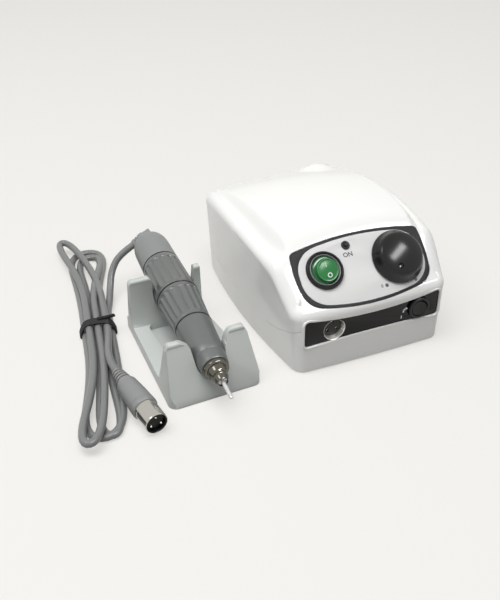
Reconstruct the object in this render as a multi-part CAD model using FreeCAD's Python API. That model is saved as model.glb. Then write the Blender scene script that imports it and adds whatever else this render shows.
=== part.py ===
import FreeCAD, Part
import math
import os

# Dental micromotor set: control case, handpiece on its cradle, and the
# handpiece cord tied in a hank with its round plug.
# Millimetres, +Z up, the panel faces -Y. Everything is drawn about the middle
# of the control case and moved once, so that the origin lies on the table
# under the middle of the set.
SET_SHIFT = FreeCAD.Vector(35.328, 2.299, 0)

V = FreeCAD.Vector
X_AXIS = V(1, 0, 0)
Y_AXIS = V(0, 1, 0)
Z_AXIS = V(0, 0, 1)

# Control case
CASE_Y_FRONT = -67.3
CASE_Y_REAR = 81.0
CASE_HALF_FRONT = 51.2
CASE_HALF_MID = 56.2
CASE_HALF_REAR = 51.8
CASE_Y_MID = -8.0
CASE_FRONT_BULGE = 1.0
SIDE_DRAFT = 3.2
FRONT_DRAFT = 1.6
REAR_DRAFT = 3.6
DRAFT_TOP_Z = 72.0
CASE_CORNER_FRONT = 9.0
CASE_CORNER_REAR = 14.0
CASE_FLOOR_Z = 1.0
CASE_WALL = 2.5
SHOULDER_TOP_Z = 64.5
SHOULDER_RADIUS = 264.0
SHOULDER_Y = 8.0
SHOULDER_ROUND = 6.0
DOME_INSET_LOW = 4.4
DOME_INSET_HIGH = 10.0
DOME_LOW_Z = 52.0
DOME_TOP_Z = 75.6
DOME_RADIUS_LONG = 200.0
DOME_RADIUS_CROSS = 330.0
DOME_RIM_ROUND = 5.0
HUMP_AT = V(28.0, 68.0, 65.6)
HUMP_RADIUS = 17.0
REAR_SEAT_Y = 79.6
SEAM_Z = 18.0
SEAM_FRONT_Z = 31.0
SEAM_BEND_Y = -27.0

# Sloping panel: x across, s up the slope, n out of it
PANEL_ANGLE = 43.0
PANEL_FOOT = V(0, -64.5, 39.0)
PANEL_SINK = 2.4
BORDER_THICK = 1.0
FACE_THICK = 1.5

# Front plate with the handpiece socket and the direction switch
PLATE_HALF = 44.5
PLATE_Z_LOW = 19.0
PLATE_Z_HIGH = 36.5
PLATE_Z_MID = 32.9
PLATE_SEAT_Y = -64.2
PLATE_THICK = 1.1
PLATE_CORNER = 2.2
SOCKET_X = -25.4
SOCKET_Z = 26.5
SOCKET_BORE = 6.75
SOCKET_OUTER = 7.1
SOCKET_DEPTH = 15.0
INSERT_SINK = 4.4
DIRECTION_X = 31.0
DIRECTION_Z = 27.0

# Panel controls
POWER_AT = (-24.3, 23.8)
POWER_FLANGE_RADIUS = 11.5
POWER_BARREL = 10.6
POWER_BORE = 9.5
ROCKER_RADIUS = 9.2
ROCKER_TRAVEL = 20.0
LAMP_AT = (-6.6, 35.7)
LAMP_RADIUS = 1.5
LAMP_BEZEL = 2.7
LAMP_STEM = 2.1
KNOB_AT = (22.8, 21.8)
KNOB_RADIUS = 16.3
KNOB_HEIGHT = 11.4
KNOB_MARK_RADIUS = 8.8
KNOB_MARK_ANGLE = 240.0
SHAFT_RADIUS = 3.0

# Inside the case
CORE_SIZE = V(66, 34, 55)
CORE_AT = V(-11, 15, 4.5)
CORE_LEG = 22.0
CORE_WINDOW = 11.0
BOARD_Z = 11.0
BOARD_THICK = 1.6
INLET_X = -22.0
INLET_Z = 32.0
FUSE_X = 14.0
FUSE_Z = 32.0

# Cradle, drawn about its own middle and turned a little
CRADLE_AT = V(-100.3, -16.5, 0)
CRADLE_YAW = 2.5
CRADLE_FRONT_Y = -48.5
CRADLE_REAR_Y = 45.0
CRADLE_HALF_FRONT = 28.5
CRADLE_HALF_REAR = 22.0
CRADLE_FLOOR = 4.0

# Handpiece: stations along its axis from the rear end, radii about it
HAND_REAR = V(-94.9, 69.0, 32.0)
HAND_NOSE = V(-99.2, -75.0, 20.0)
HAND_RADII = ((0.0, 11.5), (33.0, 12.3), (67.0, 13.5), (97.0, 11.4), (134.0, 8.2), (170.0, 8.2))
RING_STATIONS = (33.0, 67.2, 96.8)
RING_RADII = (12.25, 13.4, 11.35)
RING_WIDTH = 0.8
RING_GAP = 0.15
HEAD_END = 134.0
NOSE_END = 146.5
BUR_TIP = 160.0
SHANK_RADIUS = 1.175
SPINDLE_RADIUS = 2.5
CHUCK_RADIUS = 4.0
BEARING_RADIUS = 6.5
BOOT_AT = V(-96.5, 68.3, 35.0)
BOOT_AIM = V(-0.86, 0.10, -0.50)
BOOT_RADIUS = 4.2
BOOT_NECK_RADIUS = 3.6
BOOT_LENGTH = 9.0
FLUTES = 18

# Cord, hank and plug
CORD_RADIUS = 2.3
CORD_CLEAR = 0.8
TIE_AT = V(-147.0, 21.0, 0)
HANK_YAW = -10.0
PLUG_REAR = V(-147.1, -33.0, 10.6)
PLUG_FACE = V(-139.4, -81.7, 8.1)
PLUG_SHELL_RADIUS = 6.6
PLUG_BODY_RADIUS = 7.7


def save(name, shape):
    """Move a finished sub-part with the set and write it."""
    placed = shape.copy()
    placed.translate(SET_SHIFT)
    bad = [s for s in placed.Solids if not s.isValid()]
    box = placed.optimalBoundingBox(False)
    print("%-24s solids %2d vol %9.1f  x %7.2f %7.2f  y %7.2f %7.2f  z %6.2f %6.2f%s" % (
        name, len(placed.Solids), placed.Volume, box.XMin, box.XMax, box.YMin, box.YMax,
        box.ZMin, box.ZMax, "  NOT VALID" if bad or not placed.Solids else ""))
    placed.exportStep("parts/" + name + ".step")
    if name not in CORD_PIECES:
        SAVED.append(box)


SAVED = []
CORD_PIECES = ("cord_lead", "cord_hank", "cord_tail", "cord_tie",
               "plug_body", "plug_shell", "plug_insert", "plug_pins")


def block(x0, x1, y0, y1, z0, z1):
    return Part.makeBox(x1 - x0, y1 - y0, z1 - z0, V(x0, y0, z0))


def rod(start, end, radius):
    way = end - start
    return Part.makeCylinder(radius, way.Length, start, way)


def tube(start, end, outer, inner):
    return rod(start, end, outer).cut(rod(start, end, inner))


def join(shapes):
    whole = shapes[0]
    if len(shapes) > 1:
        whole = whole.fuse(shapes[1:])
    return whole.removeSplitter()


def group(shapes):
    """Separate solids that share one node."""
    return Part.makeCompound(shapes)


def outline(points):
    """Closed wire through points; a pair of points adds an arc through the first to the second."""
    edges = []
    here = points[0]
    for step in points[1:]:
        if isinstance(step, tuple):
            edges.append(Part.Arc(here, step[0], step[1]).toShape())
            here = step[1]
        else:
            edges.append(Part.LineSegment(here, step).toShape())
            here = step
    if here.distanceToPoint(points[0]) > 1e-6:
        edges.append(Part.LineSegment(here, points[0]).toShape())
    return Part.Wire(edges)


def slab(points, direction):
    """Solid swept from a flat outline."""
    return Part.Face(outline(points)).extrude(direction)


def turned(profile):
    """Solid turned about Z from (station, radius) points; a triple adds an arc's middle."""
    first = V(profile[0][1], 0, profile[0][0])
    steps = [V(0, 0, profile[0][0]), first]
    for item in profile[1:]:
        if len(item) == 4:
            steps.append((V(item[1], 0, item[0]), V(item[3], 0, item[2])))
        else:
            steps.append(V(item[1], 0, item[0]))
    last = profile[-1][-2]
    if abs(profile[-1][-1]) > 1e-9:
        steps.append(V(0, 0, last))
    if abs(profile[0][1]) < 1e-9:
        steps = steps[1:]
    return Part.Face(outline(steps)).revolve(V(0, 0, 0), Z_AXIS, 360)


def round_upright(shape, radius, keep):
    """Round the upright edges whose middle passes the test."""
    edges = []
    for edge in shape.Edges:
        middle = edge.valueAt((edge.FirstParameter + edge.LastParameter) / 2.0)
        way = edge.tangentAt(edge.FirstParameter)
        if abs(way.z) > 0.95 and keep(middle):
            edges.append(edge)
    return shape.makeFillet(radius, edges)


def panel_place():
    """Placement from panel coordinates (x, s, n) to the set."""
    return FreeCAD.Placement(PANEL_FOOT, FreeCAD.Rotation(X_AXIS, PANEL_ANGLE))


def on_panel(shape):
    placed = shape.copy()
    placed.Placement = panel_place().multiply(placed.Placement)
    return placed


def on_front(shape):
    """From front-plate coordinates (x, z up, n out of the plate) to the set."""
    placed = shape.copy()
    turn = FreeCAD.Placement(V(0, PLATE_SEAT_Y - PLATE_THICK, 0), FreeCAD.Rotation(X_AXIS, 90))
    placed.Placement = turn.multiply(placed.Placement)
    return placed


def along_hand(shape):
    """From handpiece stations (Z from the rear end) to the set."""
    way = HAND_NOSE - HAND_REAR
    placed = shape.copy()
    turn = FreeCAD.Placement(HAND_REAR, FreeCAD.Rotation(Z_AXIS, way))
    placed.Placement = turn.multiply(placed.Placement)
    return placed


def along_plug(shape):
    """From plug stations (Z from the rear end) to the set."""
    way = PLUG_FACE - PLUG_REAR
    placed = shape.copy()
    turn = FreeCAD.Placement(PLUG_REAR, FreeCAD.Rotation(Z_AXIS, way))
    placed.Placement = turn.multiply(placed.Placement)
    return placed


def on_cradle(shape):
    placed = shape.copy()
    turn = FreeCAD.Placement(CRADLE_AT, FreeCAD.Rotation(Z_AXIS, CRADLE_YAW))
    placed.Placement = turn.multiply(placed.Placement)
    return placed


# Case shells

def case_plan(insets, z):
    """Plan outline of the case, drawn in by its side, front and rear insets."""
    side, ahead, behind = insets
    y0 = CASE_Y_FRONT + ahead
    y1 = CASE_Y_REAR - behind
    front = CASE_HALF_FRONT - side
    mid = CASE_HALF_MID - side
    rear = CASE_HALF_REAR - side
    corner_y = y0 + CASE_FRONT_BULGE
    return outline([
        V(-front, corner_y, z),
        (V(0, y0, z), V(front, corner_y, z)),
        (V(mid, CASE_Y_MID, z), V(rear, y1, z)),
        V(-rear, y1, z),
        (V(-mid, CASE_Y_MID, z), V(-front, corner_y, z)),
    ])


def case_block(low, high, z_low, z_high, corner_inset):
    """Tapered block of the case's plan; low and high are its insets at each end."""
    body = Part.makeLoft([case_plan(low, z_low), case_plan(high, z_high)], True, True)
    body = round_upright(body, CASE_CORNER_FRONT - corner_inset, lambda p: p.y < 0)
    return round_upright(body, CASE_CORNER_REAR - corner_inset, lambda p: p.y > 0)


def same(inset):
    return (inset, inset, inset)


def drafted(inset):
    """Insets at the foot of the drafted walls."""
    return (SIDE_DRAFT + inset, FRONT_DRAFT + inset, REAR_DRAFT + inset)


def side_cut(top_z, radius, slope_out):
    """Space under the long arch and under the sloping panel plane."""
    wide = 80.0
    far = 90.0
    drop = far * far / (2.0 * radius)
    arch = slab([
        V(-wide, -far, -5),
        V(-wide, -far, top_z - drop),
        (V(-wide, 0, top_z), V(-wide, far, top_z - drop)),
        V(-wide, far, -5),
    ], V(2 * wide, 0, 0))
    arch.translate(V(0, SHOULDER_Y, 0))
    return arch.common(under_slope(slope_out))


def under_slope(slope_out):
    """Half space behind the panel plane moved out by slope_out."""
    size = 200.0
    return on_panel(block(-size, size, -size, size, -size, slope_out))


def dome_top(top_z):
    """Space under a crown that is rounded along and across."""
    cross = DOME_RADIUS_CROSS
    half = 70.0
    drop = half * half / (2.0 * cross)
    axis_z = top_z - DOME_RADIUS_LONG
    face = Part.Face(outline([
        V(-half, 0, axis_z + 40),
        V(-half, 0, top_z - drop),
        (V(0, 0, top_z), V(half, 0, top_z - drop)),
        V(half, 0, axis_z + 40),
    ]))
    face.rotate(V(0, 0, axis_z), X_AXIS, -45)
    return face.revolve(V(0, 0, axis_z), X_AXIS, 90)


def wall_body():
    """Lower and middle part of the case, up to the rounded shoulder."""
    body = case_block(drafted(0.0), same(0.0), CASE_FLOOR_Z, DRAFT_TOP_Z, 0.0)
    body = body.common(side_cut(SHOULDER_TOP_Z, SHOULDER_RADIUS, PANEL_SINK))
    rim = []
    for edge in body.Edges:
        middle = edge.valueAt((edge.FirstParameter + edge.LastParameter) / 2.0)
        arch_z = SHOULDER_TOP_Z - (middle.y - SHOULDER_Y) ** 2 / (2.0 * SHOULDER_RADIUS)
        on_arch = abs(middle.z - arch_z) < 0.8
        off_slope = middle.y > -45.0
        if on_arch and off_slope:
            rim.append(edge)
    return body.makeFillet(SHOULDER_ROUND, rim)


def dome_body():
    """Crowned top that stands inside the shoulder, with its low hump at the rear."""
    low = same(DOME_INSET_LOW)
    high = same(DOME_INSET_HIGH)
    body = case_block(low, high, DOME_LOW_Z, DOME_TOP_Z + 2, DOME_INSET_LOW)
    body = body.common(dome_top(DOME_TOP_Z))
    body = body.common(under_slope(PANEL_SINK))
    rim = []
    for edge in body.Edges:
        middle = edge.valueAt((edge.FirstParameter + edge.LastParameter) / 2.0)
        crown_z = DOME_TOP_Z - middle.y ** 2 / (2.0 * DOME_RADIUS_LONG)
        crown_z -= middle.x ** 2 / (2.0 * DOME_RADIUS_CROSS)
        if abs(middle.z - crown_z) < 1.6 and middle.y > -30.0:
            rim.append(edge)
    body = body.makeFillet(DOME_RIM_ROUND, rim)
    hump = Part.makeSphere(HUMP_RADIUS, HUMP_AT - V(0, 0, HUMP_RADIUS))
    hump = hump.common(case_block(low, high, DOME_LOW_Z, DOME_TOP_Z + 2, DOME_INSET_LOW))
    return join([body, hump])


def case_outer():
    return join([wall_body(), dome_body()])


def case_inner():
    wall = CASE_WALL
    low = case_block(drafted(wall), same(wall), CASE_FLOOR_Z + wall, DRAFT_TOP_Z, wall)
    low = low.common(side_cut(SHOULDER_TOP_Z - 6.0, SHOULDER_RADIUS, -wall))
    high = case_block(same(DOME_INSET_LOW + wall), same(DOME_INSET_HIGH + wall), DOME_LOW_Z,
                      DOME_TOP_Z + 2, DOME_INSET_LOW + wall)
    high = high.common(dome_top(DOME_TOP_Z - wall))
    high = high.common(under_slope(-wall))
    return join([low, high])


def below_seam():
    """Space below the seam, which climbs towards the front."""
    wide = 80.0
    return slab([
        V(-wide, -90, -10),
        V(-wide, -90, SEAM_FRONT_Z + 12),
        V(-wide, -66, SEAM_FRONT_Z),
        (V(-wide, -46, SEAM_Z + 4.2), V(-wide, SEAM_BEND_Y, SEAM_Z)),
        V(-wide, 90, SEAM_Z),
        V(-wide, 90, -10),
    ], V(2 * wide, 0, 0))


def soft_quad(top, top_mid, side, low, low_mid, rounds, n0, n1):
    """Rounded four-sided plate on the panel, bounded by four shallow arcs."""
    right_top = V(top[0], top[1], n0)
    left_top = V(-top[0], top[1], n0)
    right_low = V(low[0], low[1], n0)
    left_low = V(-low[0], low[1], n0)
    plate = slab([
        left_top,
        (V(0, top_mid, n0), right_top),
        (V(side[0], side[1], n0), right_low),
        (V(0, low_mid, n0), left_low),
        (V(-side[0], side[1], n0), left_top),
    ], V(0, 0, n1 - n0))
    plate = round_upright(plate, rounds[0], lambda p: p.y > side[1])
    return round_upright(plate, rounds[1], lambda p: p.y < side[1] and abs(p.x) > 20)


def border_shape(n0, n1, inset):
    return soft_quad((42.0 - inset, 38.3 - inset), 43.6 - inset, (43.2 - inset, 22.0),
                     (39.0 - inset, 4.6 + inset), -1.5 + inset, (4.0, 14.0), n0, n1)


def oval_shape(n0, n1, inset):
    return soft_quad((38.8 - inset, 36.6 - inset), 41.7 - inset, (41.0 - inset, 21.5),
                     (37.4 - inset, 6.2 + inset), 0.6 + inset, (13.0, 14.0), n0, n1)


def plate_shape(grow, y0, y1):
    """Front strip's outline, whose upper edge sags in the middle."""
    half = PLATE_HALF + grow
    low = PLATE_Z_LOW - grow
    high = PLATE_Z_HIGH + grow
    plate = slab([
        V(-half, y0, low),
        V(half, y0, low),
        V(half, y0, high),
        (V(0, y0, PLATE_Z_MID + grow), V(-half, y0, high)),
    ], V(0, y1 - y0, 0))
    return plate.makeFillet(PLATE_CORNER, [e for e in plate.Edges if e.BoundBox.XLength < 0.01
                                           and e.BoundBox.ZLength < 0.01])


def case_cuts():
    """Every opening in the case wall."""
    depth = 12.0
    cuts = [
        on_panel(border_shape(0.0, PANEL_SINK + 4, 0.0)),
        on_panel(rod(V(POWER_AT[0], POWER_AT[1], -depth), V(POWER_AT[0], POWER_AT[1], 2), POWER_BARREL + 0.2)),
        on_panel(rod(V(KNOB_AT[0], KNOB_AT[1], -depth), V(KNOB_AT[0], KNOB_AT[1], 2), 3.7)),
        on_panel(rod(V(LAMP_AT[0], LAMP_AT[1], -depth), V(LAMP_AT[0], LAMP_AT[1], 2), LAMP_STEM + 0.1)),
        plate_shape(0.2, -80, PLATE_SEAT_Y),
        rod(V(SOCKET_X, -75, SOCKET_Z), V(SOCKET_X, -55, SOCKET_Z), SOCKET_OUTER + 0.05),
        rod(V(DIRECTION_X, -75, DIRECTION_Z), V(DIRECTION_X, -55, DIRECTION_Z), 6.3),
        block(INLET_X - 13.7, INLET_X + 13.7, 60, 90, INLET_Z - 10.2, INLET_Z + 10.2),
        rod(V(FUSE_X, 60, FUSE_Z), V(FUSE_X, 90, FUSE_Z), 6.6),
    ]
    return cuts


SCREW_PLACES = ((-39.8, -48.5), (39.8, -48.5), (-41.0, 57.0), (41.0, 57.0))
FOOT_PLACES = ((-41.0, -58.0), (41.0, -58.0), (-38.0, 69.0), (38.0, 69.0))
BOARD_POSTS = ((-36.0, -40.0), (36.0, -40.0), (-36.0, -22.0), (36.0, -22.0))


def case_posts():
    """Screw posts that rise from the floor to the upper shell."""
    low = []
    high = []
    for x, y in SCREW_PLACES:
        low.append(tube(V(x, y, CASE_FLOOR_Z + 1), V(x, y, SEAM_Z - 2), 4.0, 1.7))
        high.append(tube(V(x, y, SEAM_Z - 1.8), V(x, y, DOME_TOP_Z), 4.0, 1.2))
    board = [tube(V(x, y, CASE_FLOOR_Z + 1), V(x, y, BOARD_Z), 3.0, 1.0) for x, y in BOARD_POSTS]
    return low, high, board


def make_case():
    inner = case_inner()
    shell = case_outer().cut(inner)
    shell = shell.cut(case_cuts())
    seam = below_seam()
    low, high, board = case_posts()
    sink = [rod(V(x, y, 0), V(x, y, CASE_FLOOR_Z + 4), 3.2) for x, y in SCREW_PLACES]
    bore = [rod(V(x, y, 0), V(x, y, SEAM_Z), 1.7) for x, y in SCREW_PLACES]
    lower = join([shell.common(seam)] + low + board)
    lower = lower.cut(sink + bore)
    plug = [rod(V(x, y, SEAM_Z + 12), V(x, y, DOME_TOP_Z), 1.3) for x, y in SCREW_PLACES]
    posts = [p.fuse(q).common(inner) for p, q in zip(high, plug)]
    upper = join([shell.cut(seam)] + posts)
    save("lower_case", lower)
    save("upper_case", upper)
    screws = []
    for x, y in SCREW_PLACES:
        shaft = rod(V(x, y, CASE_FLOOR_Z + 3), V(x, y, SEAM_Z + 8), 1.2)
        head = rod(V(x, y, CASE_FLOOR_Z + 1.6), V(x, y, CASE_FLOOR_Z + 4), 2.9)
        screws.append(join([head, shaft]))
    save("case_screws", group(screws))
    feet = []
    for x, y in FOOT_PLACES:
        foot = Part.makeCone(5.0, 6.0, CASE_FLOOR_Z, V(x, y, 0))
        feet.append(foot)
    save("rubber_feet", group(feet))


# Panel and its controls

def round_rocker(radius, depth, tilt, about_x):
    """Rocker cut from a ball, with two flat faces that meet in a shallow valley."""
    reach = radius * 2
    rise = reach * math.tan(math.radians(tilt))
    ball = Part.makeSphere(radius)
    profile = slab([
        V(-reach, -reach, -depth),
        V(-reach, -reach, 1.6 + rise),
        V(-reach, 0, 1.6),
        V(-reach, reach, 1.6 + rise),
        V(-reach, reach, -depth),
    ], V(2 * reach, 0, 0))
    rocker = ball.common(profile)
    pin = 1.1
    rocker = join([rocker, rod(V(-radius - 0.8, 0, -0.6), V(radius + 0.8, 0, -0.6), pin)])
    if not about_x:
        rocker.rotate(V(0, 0, 0), Z_AXIS, 90)
    return rocker


def rocker_body(flange, bore, outer, length, about_x):
    """Round switch body: flange, barrel and the bearings of the rocker."""
    ring = tube(V(0, 0, 0), V(0, 0, 1.8), flange, bore)
    barrel = tube(V(0, 0, -length), V(0, 0, 0), outer, bore)
    floor = rod(V(0, 0, -length), V(0, 0, -length + 6), outer)
    ends = rod(V(-flange, 0, -0.6), V(flange, 0, -0.6), 1.3)
    if not about_x:
        ends.rotate(V(0, 0, 0), Z_AXIS, 90)
    ends = ends.common(rod(V(0, 0, -length), V(0, 0, 2), bore + 0.7))
    body = join([ring, barrel, floor])
    body = body.makeFillet(0.8, [e for e in body.Edges if abs(e.BoundBox.ZMin - 1.8) < 1e-6
                                 and e.BoundBox.XLength > 2 * flange - 0.1])
    return body.cut(ends)


def make_panel():
    holes = [
        rod(V(POWER_AT[0], POWER_AT[1], -1), V(POWER_AT[0], POWER_AT[1], 3), POWER_BARREL + 0.2),
        rod(V(KNOB_AT[0], KNOB_AT[1], -1), V(KNOB_AT[0], KNOB_AT[1], 3), 3.7),
        rod(V(LAMP_AT[0], LAMP_AT[1], -1), V(LAMP_AT[0], LAMP_AT[1], 3), LAMP_STEM + 0.1),
    ]
    border = border_shape(0.0, BORDER_THICK, 0.15).cut(oval_shape(-1, 3, -0.05))
    face = oval_shape(0.0, FACE_THICK, 0.1).cut(holes)
    save("panel_border", on_panel(border))
    save("panel_face", on_panel(face))

    at = V(POWER_AT[0], POWER_AT[1], FACE_THICK)
    body = rocker_body(POWER_FLANGE_RADIUS, POWER_BORE, POWER_BARREL, 20.0, True)
    body.translate(at)
    rocker = round_rocker(ROCKER_RADIUS, 4.5, 7.0, True)
    rocker.rotate(V(0, 0, -0.6), X_AXIS, ROCKER_TRAVEL / 2.0)
    rocker.translate(at)
    blades = []
    for dx, dy in ((-4.0, -4.0), (4.0, -4.0), (-4.0, 4.0), (4.0, 4.0)):
        blades.append(block(at.x + dx - 2.4, at.x + dx + 2.4, at.y + dy - 0.4, at.y + dy + 0.4,
                            at.z - 28.0, at.z - 20.0))
    save("power_switch_body", on_panel(body))
    save("power_rocker", on_panel(rocker))
    save("switch_terminals", on_panel(group(blades)))

    lamp_at = V(LAMP_AT[0], LAMP_AT[1], FACE_THICK)
    bezel = turned([(0, LAMP_BEZEL), (0.5, LAMP_BEZEL), (0.9, LAMP_BEZEL - 0.4), (0.9, 0)])
    bezel = join([bezel, rod(V(0, 0, -7), V(0, 0, 0), LAMP_STEM)])
    bezel = bezel.cut(rod(V(0, 0, -8), V(0, 0, 3), LAMP_RADIUS + 0.05))
    lamp = turned([(-5, LAMP_RADIUS), (0.4, LAMP_RADIUS), (1.9, LAMP_RADIUS * 0.72, 2.5, 0.5)])
    bezel.translate(lamp_at)
    lamp.translate(lamp_at)
    save("pilot_lamp_bezel", on_panel(bezel))
    save("pilot_lamp", on_panel(lamp))


def make_speed_control():
    at = V(KNOB_AT[0], KNOB_AT[1], FACE_THICK)
    top = KNOB_HEIGHT
    cap = turned([
        (0.6, KNOB_RADIUS),
        (1.8, KNOB_RADIUS),
        (top - 3.0, KNOB_RADIUS - 3.1),
        (top - 1.7, KNOB_RADIUS - 3.8, top - 1.1, KNOB_RADIUS - 5.2),
        (top - 0.3, KNOB_RADIUS * 0.4, top, 0.0),
    ])
    hollow = rod(V(0, 0, 0), V(0, 0, top - 4.5), KNOB_RADIUS - 5.6)
    hub = rod(V(0, 0, 2.6), V(0, 0, top - 4.0), 5.2)
    knob = join([cap.cut(hollow), hub])
    knob = knob.cut(rod(V(0, 0, 0), V(0, 0, top - 5.0), SHAFT_RADIUS))
    mark = math.radians(KNOB_MARK_ANGLE)
    mark_at = V(math.cos(mark), math.sin(mark), 0) * KNOB_MARK_RADIUS
    dimple = Part.makeSphere(1.5, mark_at + V(0, 0, top))
    knob = knob.cut(dimple)
    shaft = rod(V(0, 0, -8), V(0, 0, top - 5.2), SHAFT_RADIUS)
    bush = tube(V(0, 0, -5.4), V(0, 0, 2.0), 3.55, SHAFT_RADIUS + 0.06)
    case = tube(V(0, 0, -12.5), V(0, 0, -5.4), 8.2, SHAFT_RADIUS + 0.06)
    closed = rod(V(0, 0, -14.5), V(0, 0, -12.5), 8.2)
    tags = [block(-6 + i * 5.2, -4.4 + i * 5.2, -14.5, -5.2, -9.6, -8.8) for i in range(3)]
    body = join([case, closed, bush] + tags)
    nut = Part.Face(Part.makePolygon([V(5.8 * math.cos(math.radians(60 * i)),
                                        5.8 * math.sin(math.radians(60 * i)), 0.0)
                                      for i in range(7)])).extrude(V(0, 0, 1.9))
    nut = nut.cut(rod(V(0, 0, -1), V(0, 0, 3), 3.56))
    for name, shape in (("speed_knob", knob), ("potentiometer_shaft", shaft),
                        ("potentiometer_body", body), ("potentiometer_nut", nut)):
        shape.translate(at)
        save(name, on_panel(shape))


def make_front_plate():
    plate = plate_shape(0.0, PLATE_SEAT_Y - PLATE_THICK, PLATE_SEAT_Y)
    plate = plate.cut([
        rod(V(SOCKET_X, -75, SOCKET_Z), V(SOCKET_X, -55, SOCKET_Z), SOCKET_OUTER + 0.05),
        rod(V(DIRECTION_X, -75, DIRECTION_Z), V(DIRECTION_X, -55, DIRECTION_Z), 6.3),
    ])
    save("front_plate", plate)

    mouth = 0.2
    shell = tube(V(0, 0, -SOCKET_DEPTH), V(0, 0, mouth), SOCKET_OUTER, SOCKET_BORE)
    insert = rod(V(0, 0, -SOCKET_DEPTH + 1), V(0, 0, mouth - INSERT_SINK), 5.7)
    seat = tube(V(0, 0, -SOCKET_DEPTH + 1), V(0, 0, -SOCKET_DEPTH + 3), SOCKET_BORE, 5.6)
    insert = join([insert, seat])
    holes = [rod(V(3.4 * math.cos(math.radians(a)), 3.4 * math.sin(math.radians(a)), -9),
                 V(3.4 * math.cos(math.radians(a)), 3.4 * math.sin(math.radians(a)), 0), 0.9)
             for a in (90, 210, 330)]
    insert = insert.cut(holes)
    for name, shape in (("socket_shell", shell), ("socket_insert", insert)):
        shape.translate(V(SOCKET_X, SOCKET_Z, 0))
        save(name, on_front(shape))

    body = rocker_body(7.0, 5.3, 6.2, 12.0, False)
    lever = round_rocker(5.1, 2.6, 8.0, False)
    lever.rotate(V(0, 0, -0.6), Y_AXIS, -9.0)
    for name, shape in (("direction_switch_body", body), ("direction_switch_lever", lever)):
        shape.translate(V(DIRECTION_X, DIRECTION_Z, 0))
        save(name, on_front(shape))


# Power supply inside the case

def make_supply():
    x, y, z = CORE_AT.x, CORE_AT.y, CORE_AT.z
    half_x = CORE_SIZE.x / 2.0
    half_y = CORE_SIZE.y / 2.0
    yoke = CORE_LEG / 2.0
    core = block(x - half_x, x + half_x, y - half_y, y + half_y, z, z + CORE_SIZE.z)
    leg = CORE_LEG / 2.0
    for side in (-1, 1):
        near = x + side * leg
        far = x + side * (leg + CORE_WINDOW)
        core = core.cut(block(min(near, far), max(near, far), y - half_y - 1, y + half_y + 1,
                              z + yoke, z + CORE_SIZE.z - yoke))
    save("transformer_core", core)
    gap = 0.4
    reach = 9.0
    coil = block(x - leg - CORE_WINDOW + gap, x + leg + CORE_WINDOW - gap,
                 y - half_y - reach, y + half_y + reach, z + yoke + gap, z + CORE_SIZE.z - yoke - gap)
    coil = coil.cut(block(x - leg - gap, x + leg + gap, y - half_y - gap, y + half_y + gap, z, z + 60))
    save("transformer_coil", coil)
    seat_top = CORE_AT.z
    feet = [block(x - half_x - 6, x + half_x + 6, y - 8, y + 8, CASE_FLOOR_Z + CASE_WALL, seat_top),
            block(x - half_x - 1.2, x - half_x, y - 8, y + 8, seat_top, z + 40),
            block(x + half_x, x + half_x + 1.2, y - 8, y + 8, seat_top, z + 40)]
    save("transformer_bracket", join(feet))

    board = block(-41, 41, -43.5, -16, BOARD_Z, BOARD_Z + BOARD_THICK)
    holes = [rod(V(px, py, 0), V(px, py, 30), 1.6) for px, py in BOARD_POSTS]
    save("circuit_board", board.cut(holes))
    screws = []
    for px, py in BOARD_POSTS:
        top = BOARD_Z + BOARD_THICK
        screws.append(join([rod(V(px, py, BOARD_Z - 5), V(px, py, top), 1.0),
                            rod(V(px, py, top), V(px, py, top + 1.8), 2.4)]))
    save("board_screws", group(screws))
    top = BOARD_Z + BOARD_THICK
    cans = [rod(V(cx, -30, top), V(cx, -30, top + 20), 6.5) for cx in (-4.0, 11.0)]
    save("smoothing_capacitors", group(cans))
    base = block(19.5, 32.5, -34, -31.5, top, top + 20)
    fins = [block(19.5 + i * 3.8, 21.1 + i * 3.8, -31.5, -24, top, top + 20) for i in range(4)]
    save("heatsink", join([base] + fins))
    save("drive_transistor", block(21, 31, -38.6, -34, top, top + 15))


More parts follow.
